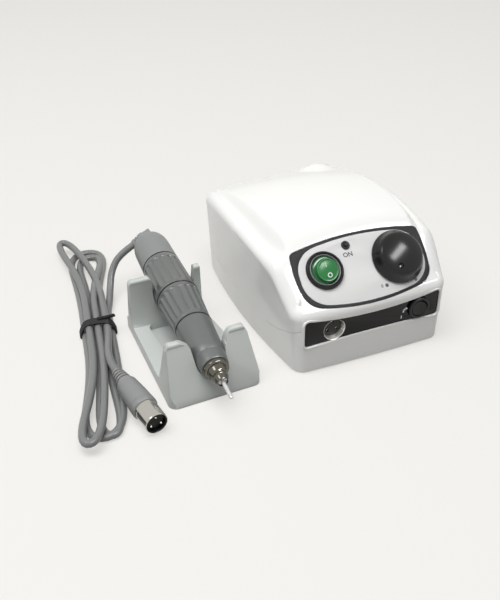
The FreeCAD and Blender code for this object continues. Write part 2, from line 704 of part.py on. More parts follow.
def make_rear_fittings():
    y = REAR_SEAT_Y
    wall = case_outer()
    flange = block(INLET_X - 16, INLET_X + 16, y - 4, y + 2.4, INLET_Z - 12.5, INLET_Z + 12.5)
    flange = round_along_y(flange, 3.0).cut(wall)
    body = block(INLET_X - 13.5, INLET_X + 13.5, y - 22, y, INLET_Z - 10, INLET_Z + 10)
    mouth = block(INLET_X - 12.1, INLET_X + 12.1, y - 15, y + 5, INLET_Z - 8.1, INLET_Z + 8.1)
    mouth = mouth.makeChamfer(4.5, [e for e in mouth.Edges if e.BoundBox.YLength > 15
                                    and e.BoundBox.ZMin > INLET_Z])
    save("mains_inlet", join([flange, body]).cut(mouth))
    pins = []
    for dx, dz in ((-7.0, -2.0), (7.0, -2.0), (0.0, 2.0)):
        blade = block(INLET_X + dx - 1.0, INLET_X + dx + 1.0, y - 15, y - 1.5,
                      INLET_Z + dz - 2.0, INLET_Z + dz + 2.0)
        tail = block(INLET_X + dx - 0.4, INLET_X + dx + 0.4, y - 28, y - 22,
                     INLET_Z + dz - 2.0, INLET_Z + dz + 2.0)
        pins.append(blade)
        pins.append(tail)
    save("inlet_pins", group(pins))

    def at_fuse(shape):
        placed = shape.copy()
        turn = FreeCAD.Placement(V(FUSE_X, y, FUSE_Z), FreeCAD.Rotation(X_AXIS, -90))
        placed.Placement = turn.multiply(placed.Placement)
        return placed

    collar = at_fuse(rod(V(0, 0, -4), V(0, 0, 2.0), 8.6)).cut(wall)
    holder = join([collar, at_fuse(rod(V(0, 0, -30), V(0, 0, 0), 6.4))])
    holder = holder.cut(at_fuse(rod(V(0, 0, -27), V(0, 0, 3), 4.6)))
    cap = join([turned([(2.3, 6.6), (5.6, 6.2), (6.2, 5.4), (6.2, 0)]),
                tube(V(0, 0, -5), V(0, 0, 2.5), 4.3, 3.3)])
    cap = cap.cut(block(-5.0, 5.0, -0.6, 0.6, 5.0, 7.0))
    glass = rod(V(0, 0, -25), V(0, 0, -5), 2.6)
    save("fuse_holder", holder)
    save("fuse_cap", at_fuse(cap))
    save("fuse_link", at_fuse(glass))


def round_along_y(shape, radius):
    edges = [e for e in shape.Edges if e.BoundBox.YLength > 1 and e.BoundBox.XLength < 0.1
             and e.BoundBox.ZLength < 0.1]
    return shape.makeFillet(radius, edges)


# Cradle

def make_cradle():
    fy = CRADLE_FRONT_Y
    ry = CRADLE_REAR_Y
    hf = CRADLE_HALF_FRONT
    hr = CRADLE_HALF_REAR
    plan = slab([V(-hf, fy, 0), V(hf, fy, 0), V(hr, ry, 0), V(-hr, ry, 0)], V(0, 0, 60))
    plan = round_upright(plan, 5.0, lambda p: True)
    lean = slab([V(-hf, 0, 0), V(hf, 0, 0), V(hf - 5.5, 0, 42), V(-hf + 5.5, 0, 42)], V(0, 200, 0))
    lean.translate(V(0, -100, 0))
    wide = 60.0
    side = slab([
        V(-wide, fy, 0),
        V(-wide, fy, 2.0),
        V(-wide, fy + 13.0, 32.0),
        (V(-wide, fy + 15.2, 35.0), V(-wide, fy + 17.4, 32.0)),
        V(-wide, fy + 20.0, 10.0),
        V(-wide, fy + 23.0, CRADLE_FLOOR + 4.0),
        V(-wide, ry - 20.0, CRADLE_FLOOR + 4.0),
        V(-wide, ry - 18.0, 12.0),
        V(-wide, ry - 16.6, 37.0),
        (V(-wide, ry - 14.6, 40.0), V(-wide, ry - 12.6, 37.0)),
        V(-wide, ry - 8.0, 10.0),
        V(-wide, ry, 5.0),
        V(-wide, ry, 0),
    ], V(2 * wide, 0, 0))
    body = plan.common(lean).common(side)
    trough = cradle_trough()
    body = body.cut(trough)
    well = block(-14.5, 14.5, fy + 23.0, ry - 20.0, CRADLE_FLOOR, 30)
    body = body.cut(round_upright(well, 4.0, lambda p: True))
    return body


def cradle_trough():
    """Room for the handpiece between the posts: a V with a round bottom that follows its axis."""
    rest = 0.35
    parts = []
    top = 70.0
    for y0, y1, half_top in ((CRADLE_FRONT_Y - 2, CRADLE_FRONT_Y + 24, 16.5),
                             (CRADLE_REAR_Y - 21, CRADLE_REAR_Y + 2, 15.5)):
        start = hand_point_local(y0)
        end = hand_point_local(y1)
        r0 = hand_radius_at(y0) + rest
        r1 = hand_radius_at(y1) + rest
        sections = []
        for c, r in ((start, r0), (end, r1)):
            sections.append(outline([
                V(c.x - r, c.y, c.z),
                (V(c.x, c.y, c.z - r), V(c.x + r, c.y, c.z)),
                V(c.x + half_top, c.y, top),
                V(c.x - half_top, c.y, top),
            ]))
        parts.append(Part.makeLoft(sections, True, True))
    return join(parts)


def hand_point_local(y):
    """Point of the handpiece's axis over the cradle's own y."""
    turn = FreeCAD.Placement(CRADLE_AT, FreeCAD.Rotation(Z_AXIS, CRADLE_YAW)).inverse()
    a = turn.multVec(HAND_REAR)
    b = turn.multVec(HAND_NOSE)
    return a + (b - a) * ((y - a.y) / (b.y - a.y))


def hand_radius_at(y):
    """Largest radius of the handpiece over the cradle's own y."""
    turn = FreeCAD.Placement(CRADLE_AT, FreeCAD.Rotation(Z_AXIS, CRADLE_YAW)).inverse()
    a = turn.multVec(HAND_REAR)
    station = (hand_point_local(y) - a).Length
    for (s0, r0), (s1, r1) in zip(HAND_RADII, HAND_RADII[1:]):
        if station <= s1:
            return r0 + (r1 - r0) * (station - s0) / (s1 - s0)
    return HAND_RADII[-1][1]


# Handpiece

def fluted(body, s0, s1, r0, r1):
    """Shallow grooves along a sleeve."""
    size = 2.6
    cuts = []
    for i in range(FLUTES):
        a = math.radians(360.0 * (i + 0.5) / FLUTES)
        way = V(math.cos(a), math.sin(a), 0)
        cuts.append(rod(way * (r0 + size - 0.55) + V(0, 0, s0), way * (r1 + size - 0.55) + V(0, 0, s1), size))
    return body.cut(cuts)


def make_handpiece():
    half = RING_WIDTH / 2.0
    s1, s2, s3 = RING_STATIONS
    cap = turned([
        (0.0, 0.0),
        (0.8, 5.0, 3.2, 8.6),
        (6.4, 10.8, 12.0, 11.6),
        (s1 - half, 12.05),
    ])
    cap = cap.cut(turned([(3.0, 0.0), (4.0, 6.0), (7.0, 8.6), (12.0, 9.9), (s1 + 1, 10.4)]))
    boot_way = boot_direction()
    cap = along_hand(cap)
    cap = cap.cut(rod(BOOT_AT - boot_way * 12, BOOT_AT + boot_way * 12, BOOT_NECK_RADIUS))
    cap = cap.cut(rod(BOOT_AT, BOOT_AT + boot_way * 12, BOOT_RADIUS))
    save("rear_cap", cap)

    boot = Part.makeCone(BOOT_RADIUS, 3.0, BOOT_LENGTH, BOOT_AT, boot_way)
    neck = rod(BOOT_AT - boot_way * 5.0, BOOT_AT, BOOT_NECK_RADIUS)
    grooves = [tube(BOOT_AT + boot_way * (4.0 + 1.9 * i), BOOT_AT + boot_way * (4.7 + 1.9 * i), 6.0,
                    3.1 - 0.2 * i) for i in range(2)]
    boot = join([boot, neck]).cut(grooves)
    save("cord_boot", boot)

    rear = turned([(s1 + half, 12.1), (s2 - half, 13.25)])
    rear = rear.cut(turned([(s1 - 1, 10.4), (s2 + 1, 10.4)]))
    rear = fluted(rear, s1 + 3.0, s2 - 2.5, 12.2, 13.2)
    save("motor_housing", along_hand(rear))

    lock = turned([(s2 + half + RING_GAP, 13.25), (s3 - half - RING_GAP, 11.25)])
    lock = lock.cut(turned([(s2 - 1, 8.6), (s3 + 1, 8.6)]))
    lock = fluted(lock, s2 + 2.5, s3 - 2.5, 13.1, 11.4)
    save("lock_sleeve", along_hand(lock))

    head = turned([
        (s3 + half, 11.15),
        (112.0, 10.3, HEAD_END - 8, 8.9),
        (HEAD_END, 8.0),
    ])
    core = turned([(s2 - half, 8.3), (s3 + half + 2, 8.3)])
    head = join([head, core])
    head = head.cut(turned([(s2 - 2, BEARING_RADIUS), (130.0, BEARING_RADIUS)]))
    head = head.cut(turned([(129.0, 5.0), (HEAD_END + 1, 5.0)]))
    save("front_housing", along_hand(head))

    rings = []
    for station, radius, bore in zip(RING_STATIONS, RING_RADII, (10.0, 8.35, 8.35)):
        ring = tube(V(0, 0, station - half + 0.02), V(0, 0, station + half - 0.02), radius, bore)
        rings.append(along_hand(ring))
    save("seal_rings", group(rings))

    nose_ring = turned([(HEAD_END, 7.4), (HEAD_END + 2.2, 7.4), (HEAD_END + 3.0, 6.7)])
    nose_ring = nose_ring.cut(turned([(HEAD_END - 1, 5.0), (HEAD_END + 4, 5.0)]))
    save("nose_ring", along_hand(nose_ring))
    cone = turned([
        (HEAD_END - 4.0, 4.9),
        (HEAD_END + 3.0, 4.9),
        (HEAD_END + 3.0, 5.8),
        (HEAD_END + 6.6, 5.4),
        (HEAD_END + 7.4, 4.4),
        (HEAD_END + 10.6, 4.1),
        (NOSE_END, 3.2),
    ])
    cone = cone.cut(turned([(HEAD_END - 5, 4.2), (140.0, 4.2)]))
    cone = cone.cut(turned([(139.0, 2.7), (NOSE_END + 1, 2.7)]))
    save("nose_cone", along_hand(cone))
    make_motor()


def make_motor():
    magnets = []
    ring = tube(V(0, 0, 36), V(0, 0, 61), 10.35, 8.0)
    for side in (-1, 1):
        near = 1.6 * side
        far = 12.0 * side
        part = block(-12, 12, min(near, far), max(near, far), 30, 70)
        magnets.append(along_hand(ring.common(part)))
    save("motor_magnets", group(magnets))
    rotor = turned([(37.0, 7.4), (60.0, 7.4)]).cut(rod(V(0, 0, 30), V(0, 0, 65), SPINDLE_RADIUS))
    slots = []
    for i in range(7):
        a = math.radians(360.0 * i / 7)
        slot = block(5.4, 9.0, -0.8, 0.8, 36, 61)
        slot.rotate(V(0, 0, 0), Z_AXIS, math.degrees(a))
        slots.append(slot)
    save("rotor_core", along_hand(rotor.cut(slots)))
    save("commutator", along_hand(tube(V(0, 0, 27), V(0, 0, 34), 4.2, SPINDLE_RADIUS)))
    brushes = []
    for side in (-1, 1):
        near = 4.3 * side
        far = 9.4 * side
        brushes.append(along_hand(block(min(near, far), max(near, far), -1.6, 1.6, 28.5, 32.5)))
    save("carbon_brushes", group(brushes))
    fit = 0.03
    bores = SPINDLE_RADIUS + fit
    save("rear_bearing", along_hand(join([tube(V(0, 0, 20.0), V(0, 0, 24.0), 7.0, bores),
                                          tube(V(0, 0, 20.0), V(0, 0, 24.0), 9.9, 7.0)])))
    wide = CHUCK_RADIUS + fit
    save("front_bearings", group([
        along_hand(tube(V(0, 0, 68.0), V(0, 0, 72.0), BEARING_RADIUS, bores)),
        along_hand(tube(V(0, 0, 98.0), V(0, 0, 103.0), BEARING_RADIUS, wide)),
        along_hand(tube(V(0, 0, 122.0), V(0, 0, 127.0), BEARING_RADIUS, wide)),
    ]))
    spindle = join([turned([(18.0, SPINDLE_RADIUS), (80.0, SPINDLE_RADIUS)]),
                    turned([(76.0, CHUCK_RADIUS), (138.0, CHUCK_RADIUS)])])
    spindle = spindle.cut(turned([(112.0, 2.55), (139.0, 2.55)]))
    save("spindle", along_hand(spindle))
    collet = turned([(114.0, 2.5), (145.8, 2.5)]).cut(turned([(120.0, SHANK_RADIUS + 0.05),
                                                               (150.0, SHANK_RADIUS + 0.05)]))
    slits = [block(0.6, 4.0, -0.25, 0.25, 128, 147) for _ in range(3)]
    for i, slit in enumerate(slits):
        slit.rotate(V(0, 0, 0), Z_AXIS, 120 * i)
    save("collet", along_hand(collet.cut(slits)))
    washers = []
    for i in range(6):
        s = 84.0 + 1.8 * i
        washers.append(along_hand(tube(V(0, 0, s), V(0, 0, s + 1.2), 5.9, CHUCK_RADIUS)))
    save("spring_washers", group(washers))
    bur = turned([(122.0, SHANK_RADIUS), (BUR_TIP - SHANK_RADIUS, SHANK_RADIUS),
                  (BUR_TIP - 0.35, 0.85, BUR_TIP, 0.25)])
    save("blank_bur", along_hand(bur))


def boot_direction():
    """Unit vector of the cord boot, which leaves the domed rear cap sideways and down."""
    way = V(BOOT_AIM)
    return way.normalize()


# Cord, hank, tie and plug

def route_radii(points):
    """Radius of the arc at each inner point of a route."""
    radii = []
    for a, b, c in zip(points, points[1:], points[2:]):
        before = b - a
        after = c - b
        turn = before.getAngle(after)
        radii.append(0.45 * min(before.Length, after.Length) / math.tan(turn / 2.0))
    return radii


def cord_tube(name, points):
    """Tube on straight runs joined by tangent arcs; prints its radii and compares its volume."""
    edges = []
    here = points[0]
    for a, b, c, radius in zip(points, points[1:], points[2:], route_radii(points)):
        before = b - a
        after = c - b
        turn = before.getAngle(after)
        reach = radius * math.tan(turn / 2.0)
        before.normalize()
        after.normalize()
        start = b - before * reach
        end = b + after * reach
        chord = (start + end) * 0.5
        inward = chord - b
        inward.normalize()
        centre = b + inward * (radius / math.cos(turn / 2.0))
        middle = centre - inward * radius
        edges.append(Part.LineSegment(here, start).toShape())
        edges.append(Part.Arc(start, middle, end).toShape())
        here = end
    edges.append(Part.LineSegment(here, points[-1]).toShape())
    length = sum(e.Length for e in edges)
    path = Part.Wire(edges)
    way = points[1] - points[0]
    section = Part.Wire([Part.makeCircle(CORD_RADIUS, points[0], way)])
    solid = path.makePipeShell([section], True, False)
    ideal = math.pi * CORD_RADIUS ** 2 * length
    print(name, "length %.1f volume ratio %.4f radii %s" % (
        length, solid.Volume / ideal, " ".join("%.1f" % r for r in route_radii(points))))
    save(name, solid)
    return length


def biarc(p0, t0, p1, t1, d1):
    """Two tangent arcs from p0 to p1; d1 is the second arc's tangent length."""
    w = p1 - t1 * d1 - p0
    d0 = (w.dot(w) - d1 * d1) / (2.0 * (w.dot(t0) + d1))
    q0 = p0 + t0 * d0
    q1 = p1 - t1 * d1
    joint = (q0 * d1 + q1 * d0) * (1.0 / (d0 + d1))
    edges = []
    for a, q, b in ((p0, q0, joint), (joint, q1, p1)):
        chord = (a + b) * 0.5
        out = q - chord
        half = (b - a).Length / 2.0
        turn = math.atan2(out.Length, half)
        out.normalize()
        middle = chord + out * (half * math.tan(turn / 2.0))
        edges.append(Part.Arc(a, middle, b).toShape())
    return edges


HANK_PITCH = 2 * CORD_RADIUS + CORD_CLEAR
HANK_LOW = CORD_RADIUS + 0.05
HANK_HIGH = HANK_LOW + HANK_PITCH

# Slots of the seven strands at the waist: side step (in half pitches) and layer
HANK_SLOTS = ((3, 0), (-3, 0), (1, 0), (-1, 0), (0, 1), (-2, 1), (2, 1))

# Folds in turn, front and rear: reach from the waist, fold radius, side lean, layer
HANK_FOLDS = (
    (-99.0, 16.4, -12.0, 0),
    (100.0, 17.6, 0.0, 0),
    (-88.0, 8.0, -10.0, 0),
    (86.0, 8.2, -0.8, 0),
    (-104.0, 11.5, -11.0, 1),
    (111.0, 17.2, 0.0, 1),
)


def hank_frame():
    yaw = math.radians(HANK_YAW)
    across = V(math.cos(yaw), math.sin(yaw), 0)
    along = V(-math.sin(yaw), math.cos(yaw), 0)
    return across, along


def hank_slot(index):
    across = hank_frame()[0]
    step, layer = HANK_SLOTS[index]
    z = HANK_LOW if layer == 0 else HANK_HIGH
    return TIE_AT + across * (step * HANK_PITCH / 2.0) + V(0, 0, z)


def make_hank():
    across, along = hank_frame()
    straight = 2 * CORD_RADIUS
    first = hank_slot(0)
    last = hank_slot(len(HANK_FOLDS))
    edges = [Part.LineSegment(first, first - along * straight).toShape()]
    for i, (reach, radius, lean, layer) in enumerate(HANK_FOLDS):
        forward = along * (1.0 if reach > 0 else -1.0)
        sweep = across * (1.0 if reach > 0 else -1.0)
        z = HANK_LOW if layer == 0 else HANK_HIGH
        tip = TIE_AT + along * reach + across * lean + V(0, 0, z)
        start = hank_slot(i)
        end = hank_slot(i + 1)
        if i == 0:
            start -= along * straight
        if i == len(HANK_FOLDS) - 1:
            end += along * straight
        edges += biarc(start, forward, tip, sweep, radius * 1.1)
        back = biarc(end, forward, tip, sweep * -1.0, radius * 1.1)
        edges += [reversed_arc(e) for e in reversed(back)]
    edges.append(Part.LineSegment(last + along * straight, last).toShape())
    path = Part.Wire(edges)
    section = Part.Wire([Part.makeCircle(CORD_RADIUS, first, along)])
    solid = path.makePipeShell([section], True, False)
    length = path.Length
    print("hank length %.1f volume ratio %.4f" % (
        length, solid.Volume / (math.pi * CORD_RADIUS ** 2 * length)))
    tight = min(e.Curve.Radius for e in edges[1:-1])
    print("hank tightest radius %.1f" % tight)
    print("hank least gap to itself %.2f" % least_gap(edges))
    save("cord_hank", solid)
    return length


def reversed_arc(edge):
    a = edge.valueAt(edge.FirstParameter)
    m = edge.valueAt((edge.FirstParameter + edge.LastParameter) / 2.0)
    b = edge.valueAt(edge.LastParameter)
    return Part.Arc(b, m, a).toShape()


def least_gap(edges):
    """Least gap of the wound tube to itself, on points of its middle line."""
    step = 1.5
    line = []
    travelled = 0.0
    for edge in edges:
        count = max(2, int(edge.Length / step))
        first = edge.FirstParameter
        span = edge.LastParameter - first
        for k in range(count):
            line.append((travelled + edge.Length * k / count, edge.valueAt(first + span * k / count)))
        travelled += edge.Length
    best = 1e9
    apart = 14.0
    for i, (si, pi) in enumerate(line):
        for sj, pj in line[i + 1:]:
            if sj - si > apart:
                gap = pi.distanceToPoint(pj) - 2 * CORD_RADIUS
                best = min(best, gap)
    return best


def make_cord():
    along = hank_frame()[1]
    boot_way = boot_direction()
    exit_at = BOOT_AT + boot_way * BOOT_LENGTH
    waist_in = hank_slot(0)
    lead = [
        exit_at,
        exit_at + boot_way * 11.5,
        V(-121.3, 66.6, 16.5),
        V(-125.2, 58.9, 8.6),
        V(-128.6, 49.5, 4.0),
        V(-132.6, 40.4, HANK_LOW),
        waist_in + along * 11.0,
        waist_in,
    ]
    total = cord_tube("cord_lead", lead)
    total += make_hank()
    waist_out = hank_slot(6)
    plug_way = PLUG_FACE - PLUG_REAR
    plug_way.normalize()
    tail = [
        waist_out,
        waist_out - along * 12.0,
        PLUG_REAR - plug_way * 12.0,
        PLUG_REAR,
    ]
    total += cord_tube("cord_tail", tail)
    print("cord total length %.0f" % total)
    make_tie()


def make_tie():
    """Two wraps of a flat twist tie, and its twisted ends."""
    half_low = 1.5 * HANK_PITCH + CORD_RADIUS + 0.3
    half_high = HANK_PITCH + CORD_RADIUS + 0.3
    top = HANK_HIGH + CORD_RADIUS + 0.3
    wrap = 1.0
    wraps = []
    for offset in (-2.6, 1.8):
        outer = slab([V(-half_low - wrap, offset, 0), V(half_low + wrap, offset, 0),
                      V(half_low + wrap, offset, 5.2), V(half_high + wrap, offset, top + wrap),
                      V(-half_high - wrap, offset, top + wrap), V(-half_low - wrap, offset, 5.2)],
                     V(0, 2.6, 0))
        inner = slab([V(-half_low, offset - 1, -1), V(half_low, offset - 1, -1),
                      V(half_low, offset - 1, 5.2), V(half_high, offset - 1, top),
                      V(-half_high, offset - 1, top), V(-half_low, offset - 1, 5.2)],
                     V(0, 5, 0))
        wraps.append(outer.cut(inner))
    knot = rod(V(2, -1, top + wrap + 0.9), V(9, 2.4, top + wrap - 0.2), 1.5)
    bridge = block(-6, 6, -2.6, 4.4, top, top + wrap)
    tie = join(wraps + [bridge, knot])
    turn = FreeCAD.Placement(TIE_AT, FreeCAD.Rotation(Z_AXIS, HANK_YAW))
    tie.Placement = turn.multiply(tie.Placement)
    save("cord_tie", tie)


def make_plug():
    length = (PLUG_FACE - PLUG_REAR).Length
    shell_length = 13.0
    body_end = length - shell_length
    body = turned([
        (0.0, 3.6),
        (9.0, 5.0),
        (12.0, 6.6),
        (15.0, PLUG_BODY_RADIUS, 20.0, PLUG_BODY_RADIUS + 0.1),
        (body_end - 1.2, PLUG_BODY_RADIUS),
        (body_end, PLUG_BODY_RADIUS - 1.0),
    ])
    grooves = [tube(V(0, 0, 1.6 + 2.6 * i), V(0, 0, 2.8 + 2.6 * i), 9.0, 3.2 + 0.45 * i)
               for i in range(3)]
    body = body.cut(grooves)
    save("plug_body", along_plug(body))
    shell = tube(V(0, 0, body_end), V(0, 0, length), PLUG_SHELL_RADIUS, PLUG_SHELL_RADIUS - 0.5)
    save("plug_shell", along_plug(shell))
    insert = rod(V(0, 0, body_end), V(0, 0, body_end + 3.0), PLUG_SHELL_RADIUS - 0.55)
    save("plug_insert", along_plug(insert))
    pins = []
    for a in (90, 210, 330):
        x = 3.4 * math.cos(math.radians(a))
        y = 3.4 * math.sin(math.radians(a))
        pins.append(along_plug(rod(V(x, y, body_end + 3.0), V(x, y, length - 1.5), 0.75)))
    save("plug_pins", group(pins))


def main():
    os.makedirs("parts", exist_ok=True)
    make_case()
    make_panel()
    make_speed_control()
    make_front_plate()
    make_supply()
    make_rear_fittings()
    save("cradle", on_cradle(make_cradle()))
    make_handpiece()
    make_cord()
    make_plug()
    x0 = min(b.XMin for b in SAVED)
    x1 = max(b.XMax for b in SAVED)
    y0 = min(b.YMin for b in SAVED)
    y1 = max(b.YMax for b in SAVED)
    print("set without its cord: x %.3f %.3f y %.3f %.3f, middle %.3f %.3f" % (
        x0, x1, y0, y1, (x0 + x1) / 2.0, (y0 + y1) / 2.0))


main()
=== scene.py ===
import logging
import math
from dataclasses import dataclass, field
from enum import Enum
from typing import Callable, Dict, List, Optional, Sequence, Tuple

import bmesh
import bpy
from mathutils import Matrix, Vector


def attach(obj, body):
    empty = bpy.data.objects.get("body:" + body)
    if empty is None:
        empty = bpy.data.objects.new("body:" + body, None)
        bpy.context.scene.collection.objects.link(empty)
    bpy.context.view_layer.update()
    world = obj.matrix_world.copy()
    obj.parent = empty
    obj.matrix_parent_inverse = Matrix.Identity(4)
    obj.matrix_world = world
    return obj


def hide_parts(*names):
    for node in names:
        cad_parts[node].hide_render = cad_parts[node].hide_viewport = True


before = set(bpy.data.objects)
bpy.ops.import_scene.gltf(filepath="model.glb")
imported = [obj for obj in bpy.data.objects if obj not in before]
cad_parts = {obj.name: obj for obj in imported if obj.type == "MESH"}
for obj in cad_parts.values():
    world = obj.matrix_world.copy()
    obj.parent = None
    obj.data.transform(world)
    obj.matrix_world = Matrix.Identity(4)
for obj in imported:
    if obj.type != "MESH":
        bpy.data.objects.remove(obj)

Point = Tuple[float, float]

LOG = logging.getLogger("micromotor")
MM = 0.001
# The case's own middle in the set's frame; every place below is about it, in millimetres.
CASE_SHIFT = Vector((35.328, 2.299, 0.0))
# The sloping panel's tilt and the middle of its lower edge.
PANEL_ANGLE = math.radians(43.0)
PANEL_FOOT = Vector((0.0, -64.5, 39.0))
# Both ends of the handpiece's axis, and the plug's: its rear, where the cord enters, and its face.
HAND_REAR = Vector((-94.9, 69.0, 32.0))
HAND_NOSE = Vector((-99.2, -75.0, 20.0))
PLUG_REAR = Vector((-147.1, -33.0, 10.6))
PLUG_FACE = Vector((-139.4, -81.7, 8.1))
CORD_RADIUS = 2.3
# Where the controls stand: across and up the slope on the panel, x and z on the strip.
ROCKER_AT: Point = (-24.3, 23.8)
KNOB_AT: Point = (22.8, 21.8)
LAMP_AT: Point = (-6.6, 35.7)
SOCKET_AT: Point = (-25.4, 26.5)
SWITCH_AT: Point = (31.0, 27.0)
# The circle that the plug's pins and the socket's contacts stand on.
PIN_CIRCLE = 3.4
# Radii of the holes in the panel for the rocker, the knob's shaft and the pilot lamp.
ROCKER_HOLE, SHAFT_HOLE, LAMP_HOLE = 10.8, 3.7, 2.2
# The front strip's plane, and a capital letter's height over the size of its body.
STRIP_Y = -65.3
CAPITAL = 0.72
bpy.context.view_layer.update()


# Places

def at(place: Vector) -> Vector:
    """Return a place about the case's middle, in millimetres, as metres in the set's frame."""
    return (place + CASE_SHIFT) * MM


def lay(origin: Vector, z_way: Vector, x_way: Vector = Vector((1.0, 0.0, 0.0))) -> Matrix:
    """Return the placement of a piece drawn in millimetres about its own axis.

    Args:
        origin: where the piece's own origin lies, in millimetres about the case's middle.
        z_way: direction of the piece's own +Z.
        x_way: rough direction of the piece's own +X.

    Returns:
        A matrix from the piece's millimetres to the set's metres.
    """
    z = z_way.normalized()
    y = z.cross(x_way).normalized()
    x = y.cross(z)
    turn = Matrix((x, y, z)).transposed().to_4x4()
    return Matrix.Translation(at(origin)) @ turn @ Matrix.Scale(MM, 4)


def in_set() -> Matrix:
    """Return the placement of a piece drawn about the case's middle."""
    return lay(Vector((0.0, 0.0, 0.0)), Vector((0.0, 0.0, 1.0)))


def on_panel(x: float = 0.0, s: float = 0.0, n: float = 0.0) -> Matrix:
    """Return the placement of a piece on the sloping panel: x across, s up the slope, n out of it."""
    up = Vector((0.0, math.cos(PANEL_ANGLE), math.sin(PANEL_ANGLE)))
    out = Vector((0.0, -math.sin(PANEL_ANGLE), math.cos(PANEL_ANGLE)))
    return lay(PANEL_FOOT + Vector((x, 0.0, 0.0)) + up * s + out * n, out)


def on_front(x: float = 0.0, z: float = 0.0, n: float = 0.0) -> Matrix:
    """Return the placement of a piece on the front strip: x across, z up, n out of it."""
    return lay(Vector((x, STRIP_Y - n, z)), Vector((0.0, -1.0, 0.0)))


def along_hand(station: float = 0.0) -> Matrix:
    """Return the placement of a piece on the handpiece's axis, at a station from its rear end."""
    way = (HAND_NOSE - HAND_REAR).normalized()
    return lay(HAND_REAR + way * station, way)


def along_plug(station: float = 0.0) -> Matrix:
    """Return the placement of a piece on the plug's axis, at a station from its rear end."""
    way = (PLUG_FACE - PLUG_REAR).normalized()
    return lay(PLUG_REAR + way * station, way)


# Materials

def linear(code: str) -> Tuple[float, float, float, float]:
    """Return an sRGB hex colour as linear red, green, blue and alpha."""
    parts = [int(code[i:i + 2], 16) / 255.0 for i in (1, 3, 5)]
    bent = [c / 12.92 if c <= 0.04045 else ((c + 0.055) / 1.055) ** 2.4 for c in parts]
    return (bent[0], bent[1], bent[2], 1.0)


def add(tree: bpy.types.NodeTree, kind: str, settings: Optional[dict] = None,
        links: Optional[dict] = None) -> bpy.types.Node:
    """Add one node with its settings and links.

    Args:
        tree: the material's node tree.
        kind: the node's type name.
        settings: socket values by socket name, or attributes where no socket has that name.
        links: output sockets by the name or index of the input that each feeds.

    Returns:
        The new node.
    """
    node = tree.nodes.new(kind)
    for name, value in (settings or {}).items():
        if isinstance(name, str) and hasattr(node, name):
            setattr(node, name, value)
        else:
            node.inputs[name].default_value = value
    for name, socket in (links or {}).items():
        tree.links.new(socket, node.inputs[name])
    return node


class Surface(Enum):
    """How a surface was made, which sets its fine pattern."""

    MOULDED = "moulded"
    BRUSHED = "brushed"
    TURNED = "turned"
    SPRAYED = "sprayed"


